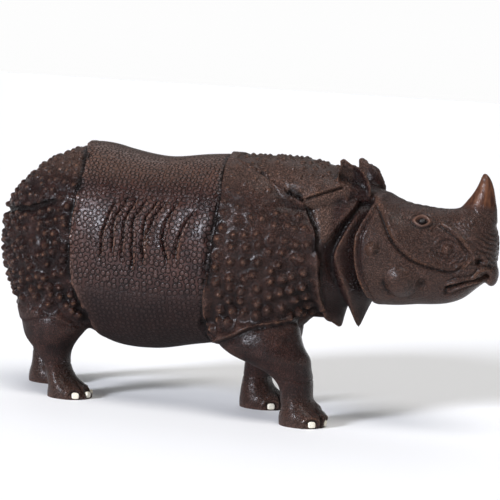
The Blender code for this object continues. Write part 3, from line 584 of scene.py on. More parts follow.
def neck():
    """The neck's ring loft: straight panels between the ridges and the valleys of its folds."""
    halves = [np.array(half, float) for half in NECK]
    rings = [mirrored_ring(a + (b - a) * k / NECK_STEPS)
             for a, b in zip(halves, halves[1:]) for k in range(NECK_STEPS)]
    return loft("neck", np.array(rings + [mirrored_ring(halves[-1])]) * MM)


def bend(obj, start, end, edge, upright_edge=0):
    """Between start and end, moves a loft along X until its end follows an edge given by height and x."""
    co, _ = read_skin(obj)
    co[:, 0] += ramp(start, end, co[:, 0]) * (smooth_between(edge, co[:, 2]) - upright_edge)
    write_skin(obj, co)
    return obj


def ear_axes():
    """An ear's base and length, and its directions along, out of its opening and across."""
    base, tip, opening = (np.array(v, float) for v in (EAR_BASE, EAR_TIP, EAR_OPENING))
    along = tip - base
    length = np.linalg.norm(along)
    along /= length
    opening -= along * opening.dot(along)
    opening /= np.linalg.norm(opening)
    return base, length, along, opening, np.cross(opening, along)


def ear(side):
    """A leaf-shaped cup: a sheet curved across its length, given thickness and a closed rim."""
    base, length, along, opening, across = ear_axes()
    stations, spans = 16, 14
    sheets = []
    for outer in (0, 1):
        for i in range(stations + 1):
            t = i / stations
            width = EAR_HALF_WIDTH * (0.30 + 0.70 * math.sin(math.pi * min(1, 0.12 + 0.88 * t) ** 0.9) ** 0.75)
            width *= 1 - ramp(0.62, 1.0, t) * 0.78
            depth = EAR_DEPTH * (0.55 + 0.45 * math.sin(math.pi * t)) * (1 - 0.6 * t)
            for j in range(spans + 1):
                angle = math.radians(-100 + 200 * j / spans)
                reach = width + outer * EAR_THICKNESS * 0.5
                back = depth + outer * EAR_THICKNESS
                p = base + along * length * t + across * reach * math.sin(angle) - opening * back * math.cos(angle)
                sheets.append(p * np.array([1, side, 1]))
    row, sheet = spans + 1, (stations + 1) * (spans + 1)
    faces = []
    for i in range(stations):
        for j in range(spans):
            a = i * row + j
            faces.append((a, a + 1, a + row + 1, a + row))
            faces.append((sheet + a, sheet + a + row, sheet + a + row + 1, sheet + a + 1))
        for j in (0, spans):
            a = i * row + j
            faces.append((a, a + row, sheet + a + row, sheet + a))
    for i in (0, stations):
        for j in range(spans):
            a = i * row + j
            faces.append((a, sheet + a, sheet + a + 1, a + 1))
    obj = mesh_object("ear", np.array(sheets) * MM, faces)
    outward(obj)
    return obj


def ball(name, centre, radii):
    mesh = bmesh.new()
    bmesh.ops.create_icosphere(mesh, subdivisions=4, radius=1)
    for v in mesh.verts:
        v.co = Vector(c + r * q for c, r, q in zip(centre, radii, v.co)) * MM
    return finished(name, mesh)


def join(objects, name):
    """Several closed meshes as one object; the remesh fuses them."""
    mesh = bmesh.new()
    for obj in objects:
        mesh.from_mesh(obj.data)
        bpy.data.objects.remove(obj)
    return finished(name, mesh)


def apply_modifiers(obj):
    graph = bpy.context.evaluated_depsgraph_get()
    data = bpy.data.meshes.new_from_object(obj.evaluated_get(graph))
    obj.modifiers.clear()
    obj.data = data


def fuse(obj, voxel, smoothing):
    remesh = obj.modifiers.new("fuse", "REMESH")
    remesh.mode = "VOXEL"
    remesh.voxel_size = voxel
    if smoothing:
        smooth = obj.modifiers.new("soften", "SMOOTH")
        smooth.factor = 0.5
        smooth.iterations = smoothing
    apply_modifiers(obj)
    return obj


def bulk():
    """The large masses: torso, legs, hips and shoulders."""
    pieces = [bend(lengthwise("torso", TORSO), *SHIELD_BLEND, SHIELD_LEAN)]
    pieces += [upright(name, rows) for name, rows in LEGS]
    for side in (-1, 1):
        for name, (x, y, z), radii in MASSES:
            pieces.append(ball(name, (x, side * y, z), radii))
    return fuse(join(pieces, "body"), BULK_VOXEL, FUSE_SMOOTHING)


def figure():
    """The bulk with the parts that keep crisp edges: neck folds, nape plate, head, horn, tail and ears."""
    pieces = [
        bulk(),
        neck(),
        lengthwise("nape", NAPE, power=0.8),
        bend(lengthwise("head", HEAD, power=0.88), CHEEK_BLEND, CHEEK_BACK, CHEEK_EDGE, CHEEK_BACK),
        upright("horn", HORN, power=1),
        ball("lip", UPPER_LIP, UPPER_LIP_SIZE),
        upright("tail", TAIL, power=1, stations=24, around=16),
        ear(-1),
        ear(1),
    ]
    return fuse(join(pieces, "body"), BULK_VOXEL, 2)


def read_skin(obj):
    """Positions in millimetres and normals of a mesh's vertices."""
    mesh = obj.data
    co = np.empty(len(mesh.vertices) * 3)
    no = np.empty(len(mesh.vertices) * 3)
    mesh.vertices.foreach_get("co", co)
    mesh.vertex_normals.foreach_get("vector", no)
    return co.reshape(-1, 3) / MM, no.reshape(-1, 3)


def write_skin(obj, co):
    obj.data.vertices.foreach_set("co", (co * MM).ravel())
    obj.data.update()


def girth(co):
    return np.degrees(np.arctan2(np.abs(co[:, 1]), co[:, 2] - AXIS_HEIGHT))


def mirror(co):
    """Positions with the left side's folded over to the side that the tables give."""
    return np.column_stack([co[:, 0], np.abs(co[:, 1]), co[:, 2]])


def near_line(co, points):
    """Distance from each position to a line through points."""
    best = np.full(len(co), FAR)
    for a, b in zip(points, points[1:]):
        ab = b - a
        t = np.clip((co - a) @ ab / max(ab.dot(ab), 1e-9), 0, 1)
        best = np.minimum(best, np.linalg.norm(co - a - t[:, None] * ab, axis=1))
    return best


def bell(distance, width):
    return np.exp(-((distance / width) ** 2))


def dome(distance, radius):
    """A rounded knob's profile: one at its middle, zero from its radius on."""
    return np.clip(1 - (distance / radius) ** 2, 0, 1) ** 1.3


def on_armour(co):
    """Each place's x, distance from the middle plane, height and girth angle, how far it is behind the rear hem,
    ahead of the shoulder hem and behind the shield's front edge, and one on the armoured trunk or zero before it."""
    x, side, z = mirror(co).T
    angle = girth(co)
    edge = smooth_between(SHIELD_FRONT, z)
    behind = smooth_between(REAR_HEM, angle) - x
    ahead = x - smooth_between(SHOULDER_HEM, angle)
    return x, side, z, angle, behind, ahead, edge - x, (x < edge + 1).astype(float)


def thigh_hem(x):
    return THIGH_HEM + 3 * np.sin(x / 9)


def carve_plates(obj):
    """Steps, rims, hems and folds of the armour, along the skin's own direction."""
    co, no = read_skin(obj)
    x, side, z, _, behind, ahead, front, trunk = on_armour(co)
    above = z - smooth_between(SHIELD_HEM, x)
    outer = ramp(*OUTER_SIDE, side)
    over_thigh = ramp(*BELLY_FADE, z)

    rump = ramp(-0.3, 0.7, behind) * ramp(48, 74, z)
    depth = -2.6 * rump * (0.75 + 0.25 * np.exp(-behind.clip(0) / 30))
    depth -= 0.8 * bell(behind - 1.9, 1.2) * over_thigh
    depth += 0.7 * bell(behind + 1.3, 1.1) * over_thigh

    shield = ramp(-0.4, 0.6, ahead) * trunk
    over_leg = np.where(x > FORELEG_BACK, ramp(-0.4, 0.6, above), 1.0)
    shield *= 1 - (1 - over_leg) * outer
    depth += 1.7 * shield * ramp(-0.5, 0.5, front)
    depth += (0.4 * bell(ahead - 1.2, 1.0) - 0.6 * bell(ahead + 1.3, 1.0)) * trunk
    leg_top = (x > FORELEG_BACK) * outer * ramp(34, 46, z)
    depth -= 2.4 * leg_top * ramp(0.4, -0.4, above) * np.exp(above.clip(-60, 0) / 8)
    depth += 0.9 * (x > -12) * outer * trunk * bell(above - 1.6, 1.6)

    fold = z - smooth_between(HIP_FOLD, x)
    hip = ramp(-152, -164, x)
    depth += hip * np.where(fold > 0, 2.0 * np.exp(-fold.clip(0) / 16) * ramp(-0.5, 0.5, fold), 0)
    depth -= hip * 2.0 * np.where(fold < 0.3, np.exp(fold.clip(-60, 0) / 4), 0)

    below = thigh_hem(x) - z
    depth -= 1.4 * (x < -128) * outer * ramp(-0.5, 1.0, below) * np.exp(-below.clip(0) / 10) * ramp(30, 44, z)
    seat = ramp(-203, -211, x) * ramp(78, 90, z) * ramp(158, 150, z)
    depth -= 1.8 * seat * bell(side - 10.5, 2.4)
    write_skin(obj, co + no * depth[:, None])


def flank_wrinkles(x, angle, side):
    """Each wrinkle's distance along the animal, and its strength from its upper to its lower end."""
    for *places, start, end in FLANK_WRINKLES:
        away = x - np.interp(angle, WRINKLE_ANGLES, places) - 0.5 * np.sin(angle / 3 + start)
        yield away, ramp(start - 2, start + 5, angle) * ramp(end + 5, end - 6, angle) * (side > 30)


def carve_lines(obj):
    """Wrinkles of the flank, and the narrow deep grooves along the nape plate and the hems."""
    co, no = read_skin(obj)
    x, side, z, angle, behind, ahead, front, trunk = on_armour(co)
    depth = np.zeros(len(co))
    for away, reach in flank_wrinkles(x, angle, side):
        crest = np.where(away > 1.7, np.exp(-(away - 1.7).clip(0) / 4.0), bell(away - 1.7, 1.0))
        depth += reach * (1.3 * crest - 2.4 * bell(away, 1.15))

    ragged = 0.3 * np.sin(x * 1.1) + 0.2 * np.sin(x * 2.7 + 1)
    cut = (x > -4) * ramp(184, 188, z) * ramp(217, 211, z)
    depth += cut * (0.7 * bell(front + 2.6, 1.6) - 2.8 * bell(front + 0.4 + ragged, 1.0))
    over_neck = z - smooth_between(NAPE_HEM, x)
    hem = (x > 63) * (x < 96) * ramp(20, 26, side) * ramp(96, 92, x)
    depth += hem * (1.1 * bell(over_neck - 1.8, 1.6) - 2.2 * bell(over_neck + 0.4, 1.2))
    shield_edge = ramp(186, 180, z) * ramp(96, 104, z) * (np.abs(front) < 8)
    depth -= 1.2 * shield_edge * bell(front + 0.8, 1.0)
    depth -= 0.5 * bell(behind - 1.2, 0.7) * ramp(*BELLY_FADE, z)
    depth -= 0.6 * bell(ahead + 0.9, 0.8) * trunk * (z > 58)
    write_skin(obj, co + no * depth[:, None])


def skin_line(mirrored, points, shift=(0, 0, 0)):
    """Distance from each place on the skin to a smooth line, which is first laid on the skin."""
    points = smooth_rows(np.array(points, float) + np.array(shift, float), 28)
    found = np.full(len(mirrored), FAR)
    close = np.linalg.norm(mirrored - points.mean(0), axis=1) < 20 + np.ptp(points, axis=0).max()
    skin_near = mirrored[close]
    points = np.array([skin_near[((skin_near - p) ** 2).sum(1).argmin()] for p in points])
    points[1:-1] = (points[:-2] + 2 * points[1:-1] + points[2:]) / 4
    found[close] = near_line(skin_near, points)
    return found


def eye_place(mirrored):
    """Distance from the middle of the eye, one at the rim of its opening."""
    from_eye = mirrored - np.array(EYE)
    along = np.abs(from_eye @ np.array(EYE_ALONG)) / EYE_HALF_LENGTH
    upward = np.abs(from_eye @ np.array(EYE_UP)) / EYE_HALF_HEIGHT
    through = np.abs(from_eye @ np.cross(EYE_ALONG, EYE_UP)) / 14
    return (along ** 1.6 + upward ** 1.6) ** (1 / 1.6) + ramp(0.5, 1, through) * 4


def carve_face(obj):
    """Eye, nostril, mouth, folds, warts and wrinkles of the head, on both sides."""
    every, normals = read_skin(obj)
    head = np.flatnonzero(every[:, 0] > FACE_START)
    co, no = every[head], normals[head]
    mirrored = mirror(co)
    x, side, z = mirrored.T

    def away(point, stretch=(1, 1, 1)):
        return np.linalg.norm((mirrored - np.array(point, float)) / np.array(stretch, float), axis=1)

    eye = eye_place(mirrored)
    depth = np.where(eye < 0.9, 2.0 * np.sqrt(np.clip(1 - (eye / 0.9) ** 2, 0, 1)) - 1.0, 0)
    depth += 0.5 * bell(eye - 0.45, 0.1)
    depth += 1.4 * bell(eye - 1.35, 0.28) - 1.6 * bell(eye - 0.96, 0.13)
    depth += 0.7 * bell(eye - 1.5, 0.3) * ramp(177, 180, z) - 1.0 * bell(eye - 2.15, 0.22) * ramp(177, 181, z)
    depth -= 0.9 * bell(eye - 1.95, 0.2) * ramp(179, 175, z)

    for points, shift, height, width in FACE_STROKES:
        depth += height * bell(skin_line(mirrored, points, shift), width)
    over_fold = skin_line(mirrored, CHEEK_FOLD, OVER_CHEEK_FOLD)
    inside = ramp(-2.5, 2.5, skin_line(mirrored, CHEEK_FOLD, UNDER_CHEEK_FOLD) - over_fold)
    depth += 1.2 * inside * np.exp(-over_fold / 8)
    for place, stretch, radius, height in FACE_DOMES:
        depth += height * dome(away(place, stretch), radius)
    depth -= 1.8 * bell(away(JOWL[0]) - 14.5, 2.8) * ramp(130, 124, z) * ramp(146, 136, x)

    muzzle = ramp(199, 207, x) * ramp(142, 146, z) * ramp(176, 168, z)
    fold = z - 0.3 * (215 - x) - 0.25 * side + 0.7 * np.sin(side * 0.45 + z * 0.2)
    depth -= 1.0 * muzzle * (0.5 + 0.5 * np.cos(fold * 2 * math.pi / MUZZLE_PITCH)) ** 2
    boss = away(HORN_BOSS, (1.3, 1.3, 1))
    hairs = np.sin((x * 0.75 + z * 0.65) * 2 * math.pi / HAIR_PITCH + 1.6 * np.sin(z * 0.55) + 1.1 * np.sin(x * 0.8))
    depth += 1.2 * dome(boss, 9) + 0.3 * hairs * ramp(13, 8, boss) * ramp(3, 6, side)

    wart = away(WART[0])
    depth -= 0.5 * bell(wart - WART[2], 0.8)
    for ring, weight in WART_RINGS:
        depth -= weight * bell(wart - ring - 0.5 * np.sin(x * 0.5 + ring), 0.75) * ramp(157, 152, z)
    above_wart = ramp(158, 161, z)
    depth += (0.7 * bell(wart - 10.2, 1.3) - 1.3 * bell(wart - 8.2, 0.9)) * above_wart
    rim = x - smooth_between(CHEEK_EDGE, z)
    flap = ramp(17, 23, side) * ramp(190, 184, z) * ramp(106, 112, z)
    depth += flap * (1.3 * bell(rim - 1.6, 1.3) - 1.1 * bell(rim - 4.8, 1.6))
    forehead = ramp(128, 140, x) * ramp(176, 168, x) * ramp(184, 190, z)
    depth += 0.25 * forehead * np.sin((x + 0.6 * side) * 2 * math.pi / FOREHEAD_PITCH)
    every[head] = co + no * depth[:, None]
    write_skin(obj, every)


def skin_tree(co):
    tree = kdtree.KDTree(len(co))
    for i, p in enumerate(co):
        tree.insert(p, i)
    tree.balance()
    return tree


def knob_rows(start, end, pitch, shape=None):
    """Rows of places around the trunk, each row a ring of the torso's own form, staggered."""
    rows = smooth_rows(TORSO, 400)
    travelled = travel(np.column_stack([rows[:, 0], np.hypot(rows[:, 3], rows[:, 1] - rows[:, 4])]))
    first, last = np.interp([start, end], rows[:, 0], travelled)
    count = max(1, round((last - first) / pitch))
    places = []
    for k in range(count + 1):
        at = first + (last - first) * k / count
        cut = [np.interp(at, travelled, rows[:, c]) for c in range(5)]
        ring = np.array(section(*cut, [math.radians(step) for step in range(181)], TRUNK_POWER))
        along = travel(ring)
        number = max(1, round(along[-1] / pitch))
        for n in range(number + 1):
            d = (n + 0.5 * (k % 2)) * along[-1] / number
            if d > along[-1]:
                continue
            place = np.array([np.interp(d, along, ring[:, c]) for c in range(3)])
            places.append(place + np.array([shape(place, k / count) if shape else 0.0, 0, 0]))
    return places


def off_zone(zone, spot, angle):
    """Whether a place is beyond the part of the armour that has this kind of knob, or on one of its folds."""
    x, y, z = spot
    front = smooth_between(SHIELD_FRONT, z) - x
    if zone == "rump":
        return (x > smooth_between(REAR_HEM, angle) - 5 or z < THIGH_HEM - 4 or abs(y) < 14 and z < 150
                or abs(z - smooth_between(HIP_FOLD, x)) < 3 and x < -158)
    if zone == "shoulder":
        return (x < smooth_between(SHOULDER_HEM, angle) + 4 or z < smooth_between(SHIELD_HEM, x) + 3
                or front < 4.5 or abs(y) < 20 and z < 150)
    return front > -4 or z < smooth_between(NAPE_HEM, x) + 4 or x > 88


def knob_places(tree, no):
    """Each knob's place on the skin and direction out, radius and height, and height of the soft mound under it."""
    dice = random.Random(3)

    def hem_shift(place, share):
        angle = math.degrees(math.atan2(place[1], place[2] - AXIS_HEIGHT))
        return (smooth_between(REAR_HEM, angle) + 137) * share

    wanted = [(p, "rump") for p in knob_rows(-221, -143, KNOB_SPACING, hem_shift)]
    wanted += [(p, "shoulder") for p in knob_rows(0, 70, SHOULDER_KNOB_SPACING)]
    wanted += [(p, "nape") for p in knob_rows(4, 100, NAPE_KNOB_SPACING)]
    knobs = []
    for place, zone in wanted:
        for side in (-1, 1):
            jitter = np.array([dice.uniform(-KNOB_JITTER, KNOB_JITTER), 0, dice.uniform(-KNOB_JITTER, KNOB_JITTER)])
            spot, index, _ = tree.find((place + jitter) * np.array([1, side, 1]))
            angle = math.degrees(math.atan2(abs(spot.y), spot.z - AXIS_HEIGHT))
            if side == 1 and abs(spot.y) < 3 or off_zone(zone, spot, angle):
                continue
            scale = dice.uniform(0.85, 1.15)
            if any((q[0] - spot).length < KNOB_GAP for q in knobs[-80:]):
                continue
            heights, *sizes = KNOB_SIZES[zone]
            radius, height, mound = (float(np.interp(spot.z, heights, row)) for row in sizes)
            knobs.append((spot.copy(), no[index], radius * scale, height * scale, mound))
    return knobs


def around_spot(tree, spot, reach):
    """The numbers and distances of the places within reach of a spot."""
    found = tree.find_range(spot, reach)
    return np.array([i for _, i, _ in found], dtype=int), np.array([d for _, _, d in found])


def carve_knobs(obj):
    """Raises the knobs and their mounds out of skin that is sunk for them, and returns the knobs for their wear."""
    co, no = read_skin(obj)
    tree = skin_tree(co)
    knobs = knob_places(tree, no)
    depth, swell, sunk = np.zeros((3, len(co)))
    for spot, _, radius, height, mound in knobs:
        index, away = around_spot(tree, spot, MOUND_RADIUS)
        rise = height * dome(away, radius) - 0.12 * height * bell(away - radius * 1.2, 0.8)
        depth[index] = np.where(np.abs(rise) > np.abs(depth[index]), rise, depth[index])
        swell[index] += mound * (bell(away, MOUND_SPREAD) - bell(MOUND_RADIUS, MOUND_SPREAD))
        index, away = around_spot(tree, spot, MOUND_RADIUS + 6)
        sunk[index] = np.maximum(sunk[index], 0.85 * (mound + 0.3) * ramp(MOUND_RADIUS + 6, MOUND_RADIUS - 1, away))
    write_skin(obj, co + no * (depth + swell - sunk)[:, None])
    return knobs


def nail_axes(node):
    """Middle of a toenail's solid and the level direction that it faces."""
    low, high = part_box(node)
    middle = (np.array(low) + np.array(high)) / 2 / MM
    x, y, turn, angle = next(
        (fx, fy, turn, angle)
        for foot, fx, fy, turn in FEET
        for toe, angle in TOES
        if node == "toenail_" + foot + "_" + toe
    )
    heading = math.radians(turn + (1 if y < 0 else -1) * angle)
    return middle, np.array([math.cos(heading), math.sin(heading), 0])


def from_nail(co, middle, out):
    """Each place's distance across, out of and above the middle of a nail."""
    away = co - middle
    return away @ np.array([-out[1], out[0], 0]), away @ out, away[:, 2]


def carve_feet(obj, nails):
    """Grooves between the toes, and over each nail a dark arch cut back to where the nail is let in."""
    co, no = read_skin(obj)
    depth = np.zeros(len(co))
    low = ramp(17, 11, co[:, 2])
    for _, x, y, turn in FEET:
        across = co[:, 0] - x, co[:, 1] - y
        near = (np.hypot(*across) < 36) * low
        flip = 1 if y < 0 else -1
        heading = np.degrees(np.arctan2(across[1] * flip, across[0])) - turn * flip
        for groove in TOE_GROOVES:
            off = np.radians((heading - groove + 180) % 360 - 180) * 22
            depth -= near * 2.0 * bell(off, 1.5)
    for x, y, z, cut in LEG_CREASES:
        leg = (np.abs(co[:, 0] - x) < 26) * (co[:, 1] * y > 10)
        depth -= cut * leg * bell(co[:, 2] - z, 0.8)
    for middle, out in nails:
        across, ahead, rise = from_nail(co, middle, out)
        close = (np.abs(ahead) < 8) * (np.hypot(across, rise) < 12)
        arch = np.hypot(across / 1.15, (rise + 1.0).clip(0))
        depth += close * (0.7 * bell(arch - 6.6, 1.0) - 1.5 * bell(arch - 4.4, 1.0) * ramp(-1, 1.5, rise))
    co = co + no * depth[:, None]
    for middle, out in nails:
        across, ahead, rise = from_nail(co, middle, out)
        pocket = (np.abs(across) < 3.5) & (np.abs(rise) < 3.0) & (np.abs(ahead) < 6) & (co[:, 2] > 0.4)
        push = np.where(pocket, np.minimum(ahead, -0.6) - ahead, 0)
        co = co + push[:, None] * out
    write_skin(obj, co)


def carve_ears(obj):
    """Ribs down the hollow of each ear."""
    co, no = read_skin(obj)
    base, length, along, opening, across = ear_axes()
    from_base = mirror(co) - base
    t = from_base @ along / length
    s = from_base @ across
    facing = np.column_stack([no[:, 0], np.sign(co[:, 1]) * no[:, 1], no[:, 2]]) @ opening
    hollow = ramp(0.15, 0.35, t) * ramp(1.0, 0.85, t) * ramp(8.5, 7, np.abs(s)) * ramp(0.2, 0.6, facing)
    hollow *= np.abs(from_base @ opening) < 14
    rib = s * 0.9 + (t - 0.5) * 14
    write_skin(obj, co + no * (0.16 * hollow * np.cos(rib * 2 * math.pi / EAR_RIB_PITCH))[:, None])


def flat_soles(obj):
    """Cuts the feet level with the ground and closes the cut."""
    mesh = bmesh.new()
    mesh.from_mesh(obj.data)
    geometry = mesh.verts[:] + mesh.edges[:] + mesh.faces[:]
    cut = bmesh.ops.bisect_plane(mesh, geom=geometry, dist=1e-7, plane_co=(0, 0, 0), plane_no=(0, 0, -1),
                                 clear_outer=True)
    edges = [e for e in cut["geom_cut"] if isinstance(e, bmesh.types.BMEdge)]
    bmesh.ops.edgeloop_fill(mesh, edges=edges)
    bmesh.ops.triangulate(mesh, faces=[f for f in mesh.faces if len(f.verts) > 4])
    mesh.to_mesh(obj.data)
    mesh.free()


def reduce(obj, triangles):
    obj.data.calc_loop_triangles()
    decimate = obj.modifiers.new("reduce", "DECIMATE")
    decimate.ratio = triangles / len(obj.data.loop_triangles)
    apply_modifiers(obj)


def crease_values(obj, rounds):
    """How sharply the skin bulges (above zero) or dips (below zero) at each vertex, spread over some rounds."""
    co, no = read_skin(obj)
    mesh = obj.data
    edges = np.empty(len(mesh.edges) * 2, dtype=np.int64)
    mesh.edges.foreach_get("vertices", edges)
    a, b = edges.reshape(-1, 2).T
    count = np.maximum(np.bincount(a, minlength=len(co)) + np.bincount(b, minlength=len(co)), 1)

    def around(values):
        return (np.bincount(a, values[b], len(co)) + np.bincount(b, values[a], len(co))) / count

    smooth = np.array([around(co[:, k]) for k in range(3)]).T
    length = np.linalg.norm(co[a] - co[b], axis=1)
    size = (np.bincount(a, length, len(co)) + np.bincount(b, length, len(co))) / count
    bulge = ((co - smooth) * no).sum(1) / np.maximum(size, 0.2) ** 2
    for _ in range(rounds):
        bulge = 0.5 * bulge + 0.5 * around(bulge)
    return bulge


def store(obj, name, values, kind="FLOAT"):
    layer = obj.data.attributes.new(name, kind, "POINT")
    layer.data.foreach_set("value" if kind == "FLOAT" else "vector", np.asarray(values, np.float32).ravel())


def girth_lengths(angle):
    """Distance round the trunk from the spine to each girth angle, on an oval."""
    turns = np.radians(np.arange(181))
    radius = 1 / np.hypot(np.sin(turns) / TRUNK_HALF_WIDTH, np.cos(turns) / TRUNK_HALF_HEIGHT)
    outline = np.column_stack([radius * np.sin(turns), radius * np.cos(turns)])
    return np.interp(angle, np.degrees(turns), travel(outline))


def knob_tips(co, knobs):
    """One at the tip of each knob, zero from its radius on."""
    tips = np.zeros(len(co))
    tree = skin_tree(co)
    for spot, out, radius, height, mound in knobs:
        found, _ = around_spot(tree, spot, radius + height + mound)
        away = co[found] - np.array(spot)
        away -= (away @ out)[:, None] * out
        tips[found] = np.maximum(tips[found], 1 - np.linalg.norm(away, axis=1) / radius)
    return tips


def mark_skin(obj, knobs):
    """Keeps on the skin what its wood shader needs: zones, wear, painted highlight and shade, creases and a flat map
    for the punched rings.
    """
    co, no = read_skin(obj)
    x, side, z, angle, behind, ahead, front, trunk = on_armour(co)
    mirrored = mirror(co)
    eye = eye_place(mirrored)
    on_head = x > HEAD_START
    saddle = ramp(1, -0.5, behind) * ramp(1, -0.5, ahead) * trunk

    sharp, broad = (crease_values(obj, rounds) for rounds in CREASE_ROUNDS)
    # Sharp bulges give rubbed wear, broad bulges a painted highlight, fine creases and broad hollows painted shade
    creases = {}
    for name, values, face_limits, body_limits in (
            ("worn_and_highlight", sharp, (86, 98), (90, 99)), ("crease_shade", sharp, (14, 2), (12, 1.5)),
            ("proud_highlight", broad, (60, 97), (60, 97)), ("deep", broad, (30, 3), (40, 4))):
        creases[name] = np.where(on_head, ramp(*np.percentile(values[on_head], face_limits), values),
                                 ramp(*np.percentile(values[~on_head], body_limits), values))
    # Lighter places: wear on the eyelids, face lines and cheek rim; painted highlight on the two warts and along the
    # flank wrinkles' crests
    wear_and_highlight = 0.15 * bell(eye - 1.35, 0.3)
    for points, width, strength in LIT_LINES:
        wear_and_highlight = np.maximum(wear_and_highlight, strength * bell(skin_line(mirrored, points), width))
    rim = x - smooth_between(CHEEK_EDGE, z)
    wear_and_highlight = np.maximum(wear_and_highlight, bell(rim - 1.0, 1.1) * ramp(17, 23, side) * ramp(190, 184, z) * ramp(104, 110, z))
    # Painted highlight on the warts
    for place, _, radius, _ in (WART, CHEEK_WART):
        wear_and_highlight = np.maximum(wear_and_highlight, 0.9 * dome(np.linalg.norm(mirrored - np.array(place), axis=1), radius))
    # Painted highlight along each flank wrinkle's crest
    for away, reach in flank_wrinkles(x, angle, side):
        wear_and_highlight = np.maximum(wear_and_highlight, 0.85 * reach * bell(away - 1.9, 0.9) * saddle)

    horn = ramp(186, 194, z) * ramp(20, 15, np.hypot(x - 202, side)) * (x > 182)
    neck_plate = ramp(-1, 1, -front) * ramp(150, 158, z) * ramp(12, 4, x - 80) * (z < 196)
    collar = (front < 0) * (x < 122) * ramp(196, 188, z) * (1 - neck_plate)
    head = ramp(112, 120, x)
    nape = (1 - trunk) * (x < 98) * ramp(186, 192, z)
    shoulder = trunk * ramp(0, 4, ahead) * ramp(58, 90, z)
    # Warmer tone on the neck plate, head and nape; painted top light along the top of the back and painted sheen on the
    # shoulders; lighter towards the ground on the feet
    warm_and_top_light = (1.0 * neck_plate + 0.75 * ramp(182, 206, z) * trunk + 0.52 * head * (1 - horn) + 0.8 * nape
            + 0.25 * shoulder + 0.5 * ramp(34, 14, z))
    store(obj, "ring_map", np.column_stack([x, girth_lengths(angle), np.zeros(len(co))]), "FLOAT_VECTOR")
    marks = {
        "saddle": saddle,
        "large": ramp(186, 176, z) * ramp(92, 104, z),
        "tips": knob_tips(co, knobs),
        # Rubbed wear on sharp edges, with the painted highlights on warts and wrinkle crests
        "worn_and_highlight": np.maximum(creases["worn_and_highlight"] * np.where(on_head, 0.5, 1), wear_and_highlight),
        # Painted shade in the fine creases
        "crease_shade": creases["crease_shade"],
        # Painted highlight on the broad bulges
        "proud_highlight": creases["proud_highlight"],
        # Painted shade in the broad hollows and round under the eye
        "deep": np.maximum(creases["deep"], 0.8 * bell(eye - 2.0, 0.5) * ramp(178, 172, z)),
        "calm": ramp(2.1, 1.3, eye),
        # Painted shade: darker towards the bottom of the trunk between the legs
        "shade": saddle * ramp(122, 84, z),
        "horn": horn,
        "eye": ramp(0.92, 0.84, eye),
        "under": ramp(0.1, -0.55, no[:, 2]) * ramp(120, 90, z),
        "warm_and_top_light": np.clip(warm_and_top_light, 0, 1),
        # Dark reddish brown low on the legs and on the horn; on the neck folds it is painted shade
        "red_and_collar_shade": np.clip(0.8 * collar * (1 - head) + ramp(40, 20, z) * 0.35 + 0.9 * horn, 0, 1),
    }
    for name, values in marks.items():
        store(obj, name, values)


class Shader:
    """A short way to write nodes: each call adds a node, sets its inputs by number or name and returns its output."""

    def __init__(self, owner, last="Principled BSDF"):
        owner.use_nodes = True
        self.owner = owner
        self.nodes = owner.node_tree.nodes
        self.links = owner.node_tree.links
        self.last = self.nodes[last]

    def put(self, socket, value):
        if isinstance(value, bpy.types.NodeSocket):
            self.links.new(value, socket)
        elif value is not None:
            socket.default_value = value

    def add(self, kind, numbered=None, settings=None, output=0, **named):
        node = self.nodes.new("ShaderNode" + kind)
        for key, value in (settings or {}).items():
            setattr(node, key, value)
        for key, value in {**(numbered or {}), **named}.items():
            self.put(node.inputs[key], value)
        return node.outputs[output]

    def attribute(self, name, output="Fac"):
        return self.add("Attribute", settings={"attribute_name": name}, output=output)

    def math(self, operation, a, b=None):
        return self.add("Math", {0: a, 1: b}, {"operation": operation})

    def times(self, a, b):
        return self.math("MULTIPLY", a, b)

    def rest(self, value):
        """One less the value."""
        return self.math("SUBTRACT", 1.0, value)

    def rise(self, value, low, high, out_low=0.0, out_high=1.0):
        return self.add("MapRange", {0: value, 1: low, 2: high, 3: out_low, 4: out_high},
                        {"interpolation_type": "SMOOTHSTEP"})

    def mix(self, share, a, b):
        return self.add("Mix", {0: share, 6: a, 7: b}, {"data_type": "RGBA"}, 2)

    def mix_value(self, share, a, b):
        return self.add("Mix", {0: share, 2: a, 3: b}, {"data_type": "FLOAT"})

    def noise(self, place, scale, detail=4.0, roughness=0.55, distortion=0.0):
        return self.add("TexNoise", Vector=place, Scale=scale, Detail=detail, Roughness=roughness,
                        Distortion=distortion)

    def stretched(self, place, scale):
        return self.add("Mapping", {0: place}, Scale=scale)

    def bump(self, height, distance, normal=None):
        return self.add("Bump", Height=height, Distance=distance, Strength=1.0, Normal=normal)

    def surface(self, **inputs):
        for key, value in inputs.items():
            self.put(self.last.inputs[key.replace("_", " ")], value)
        return self.owner


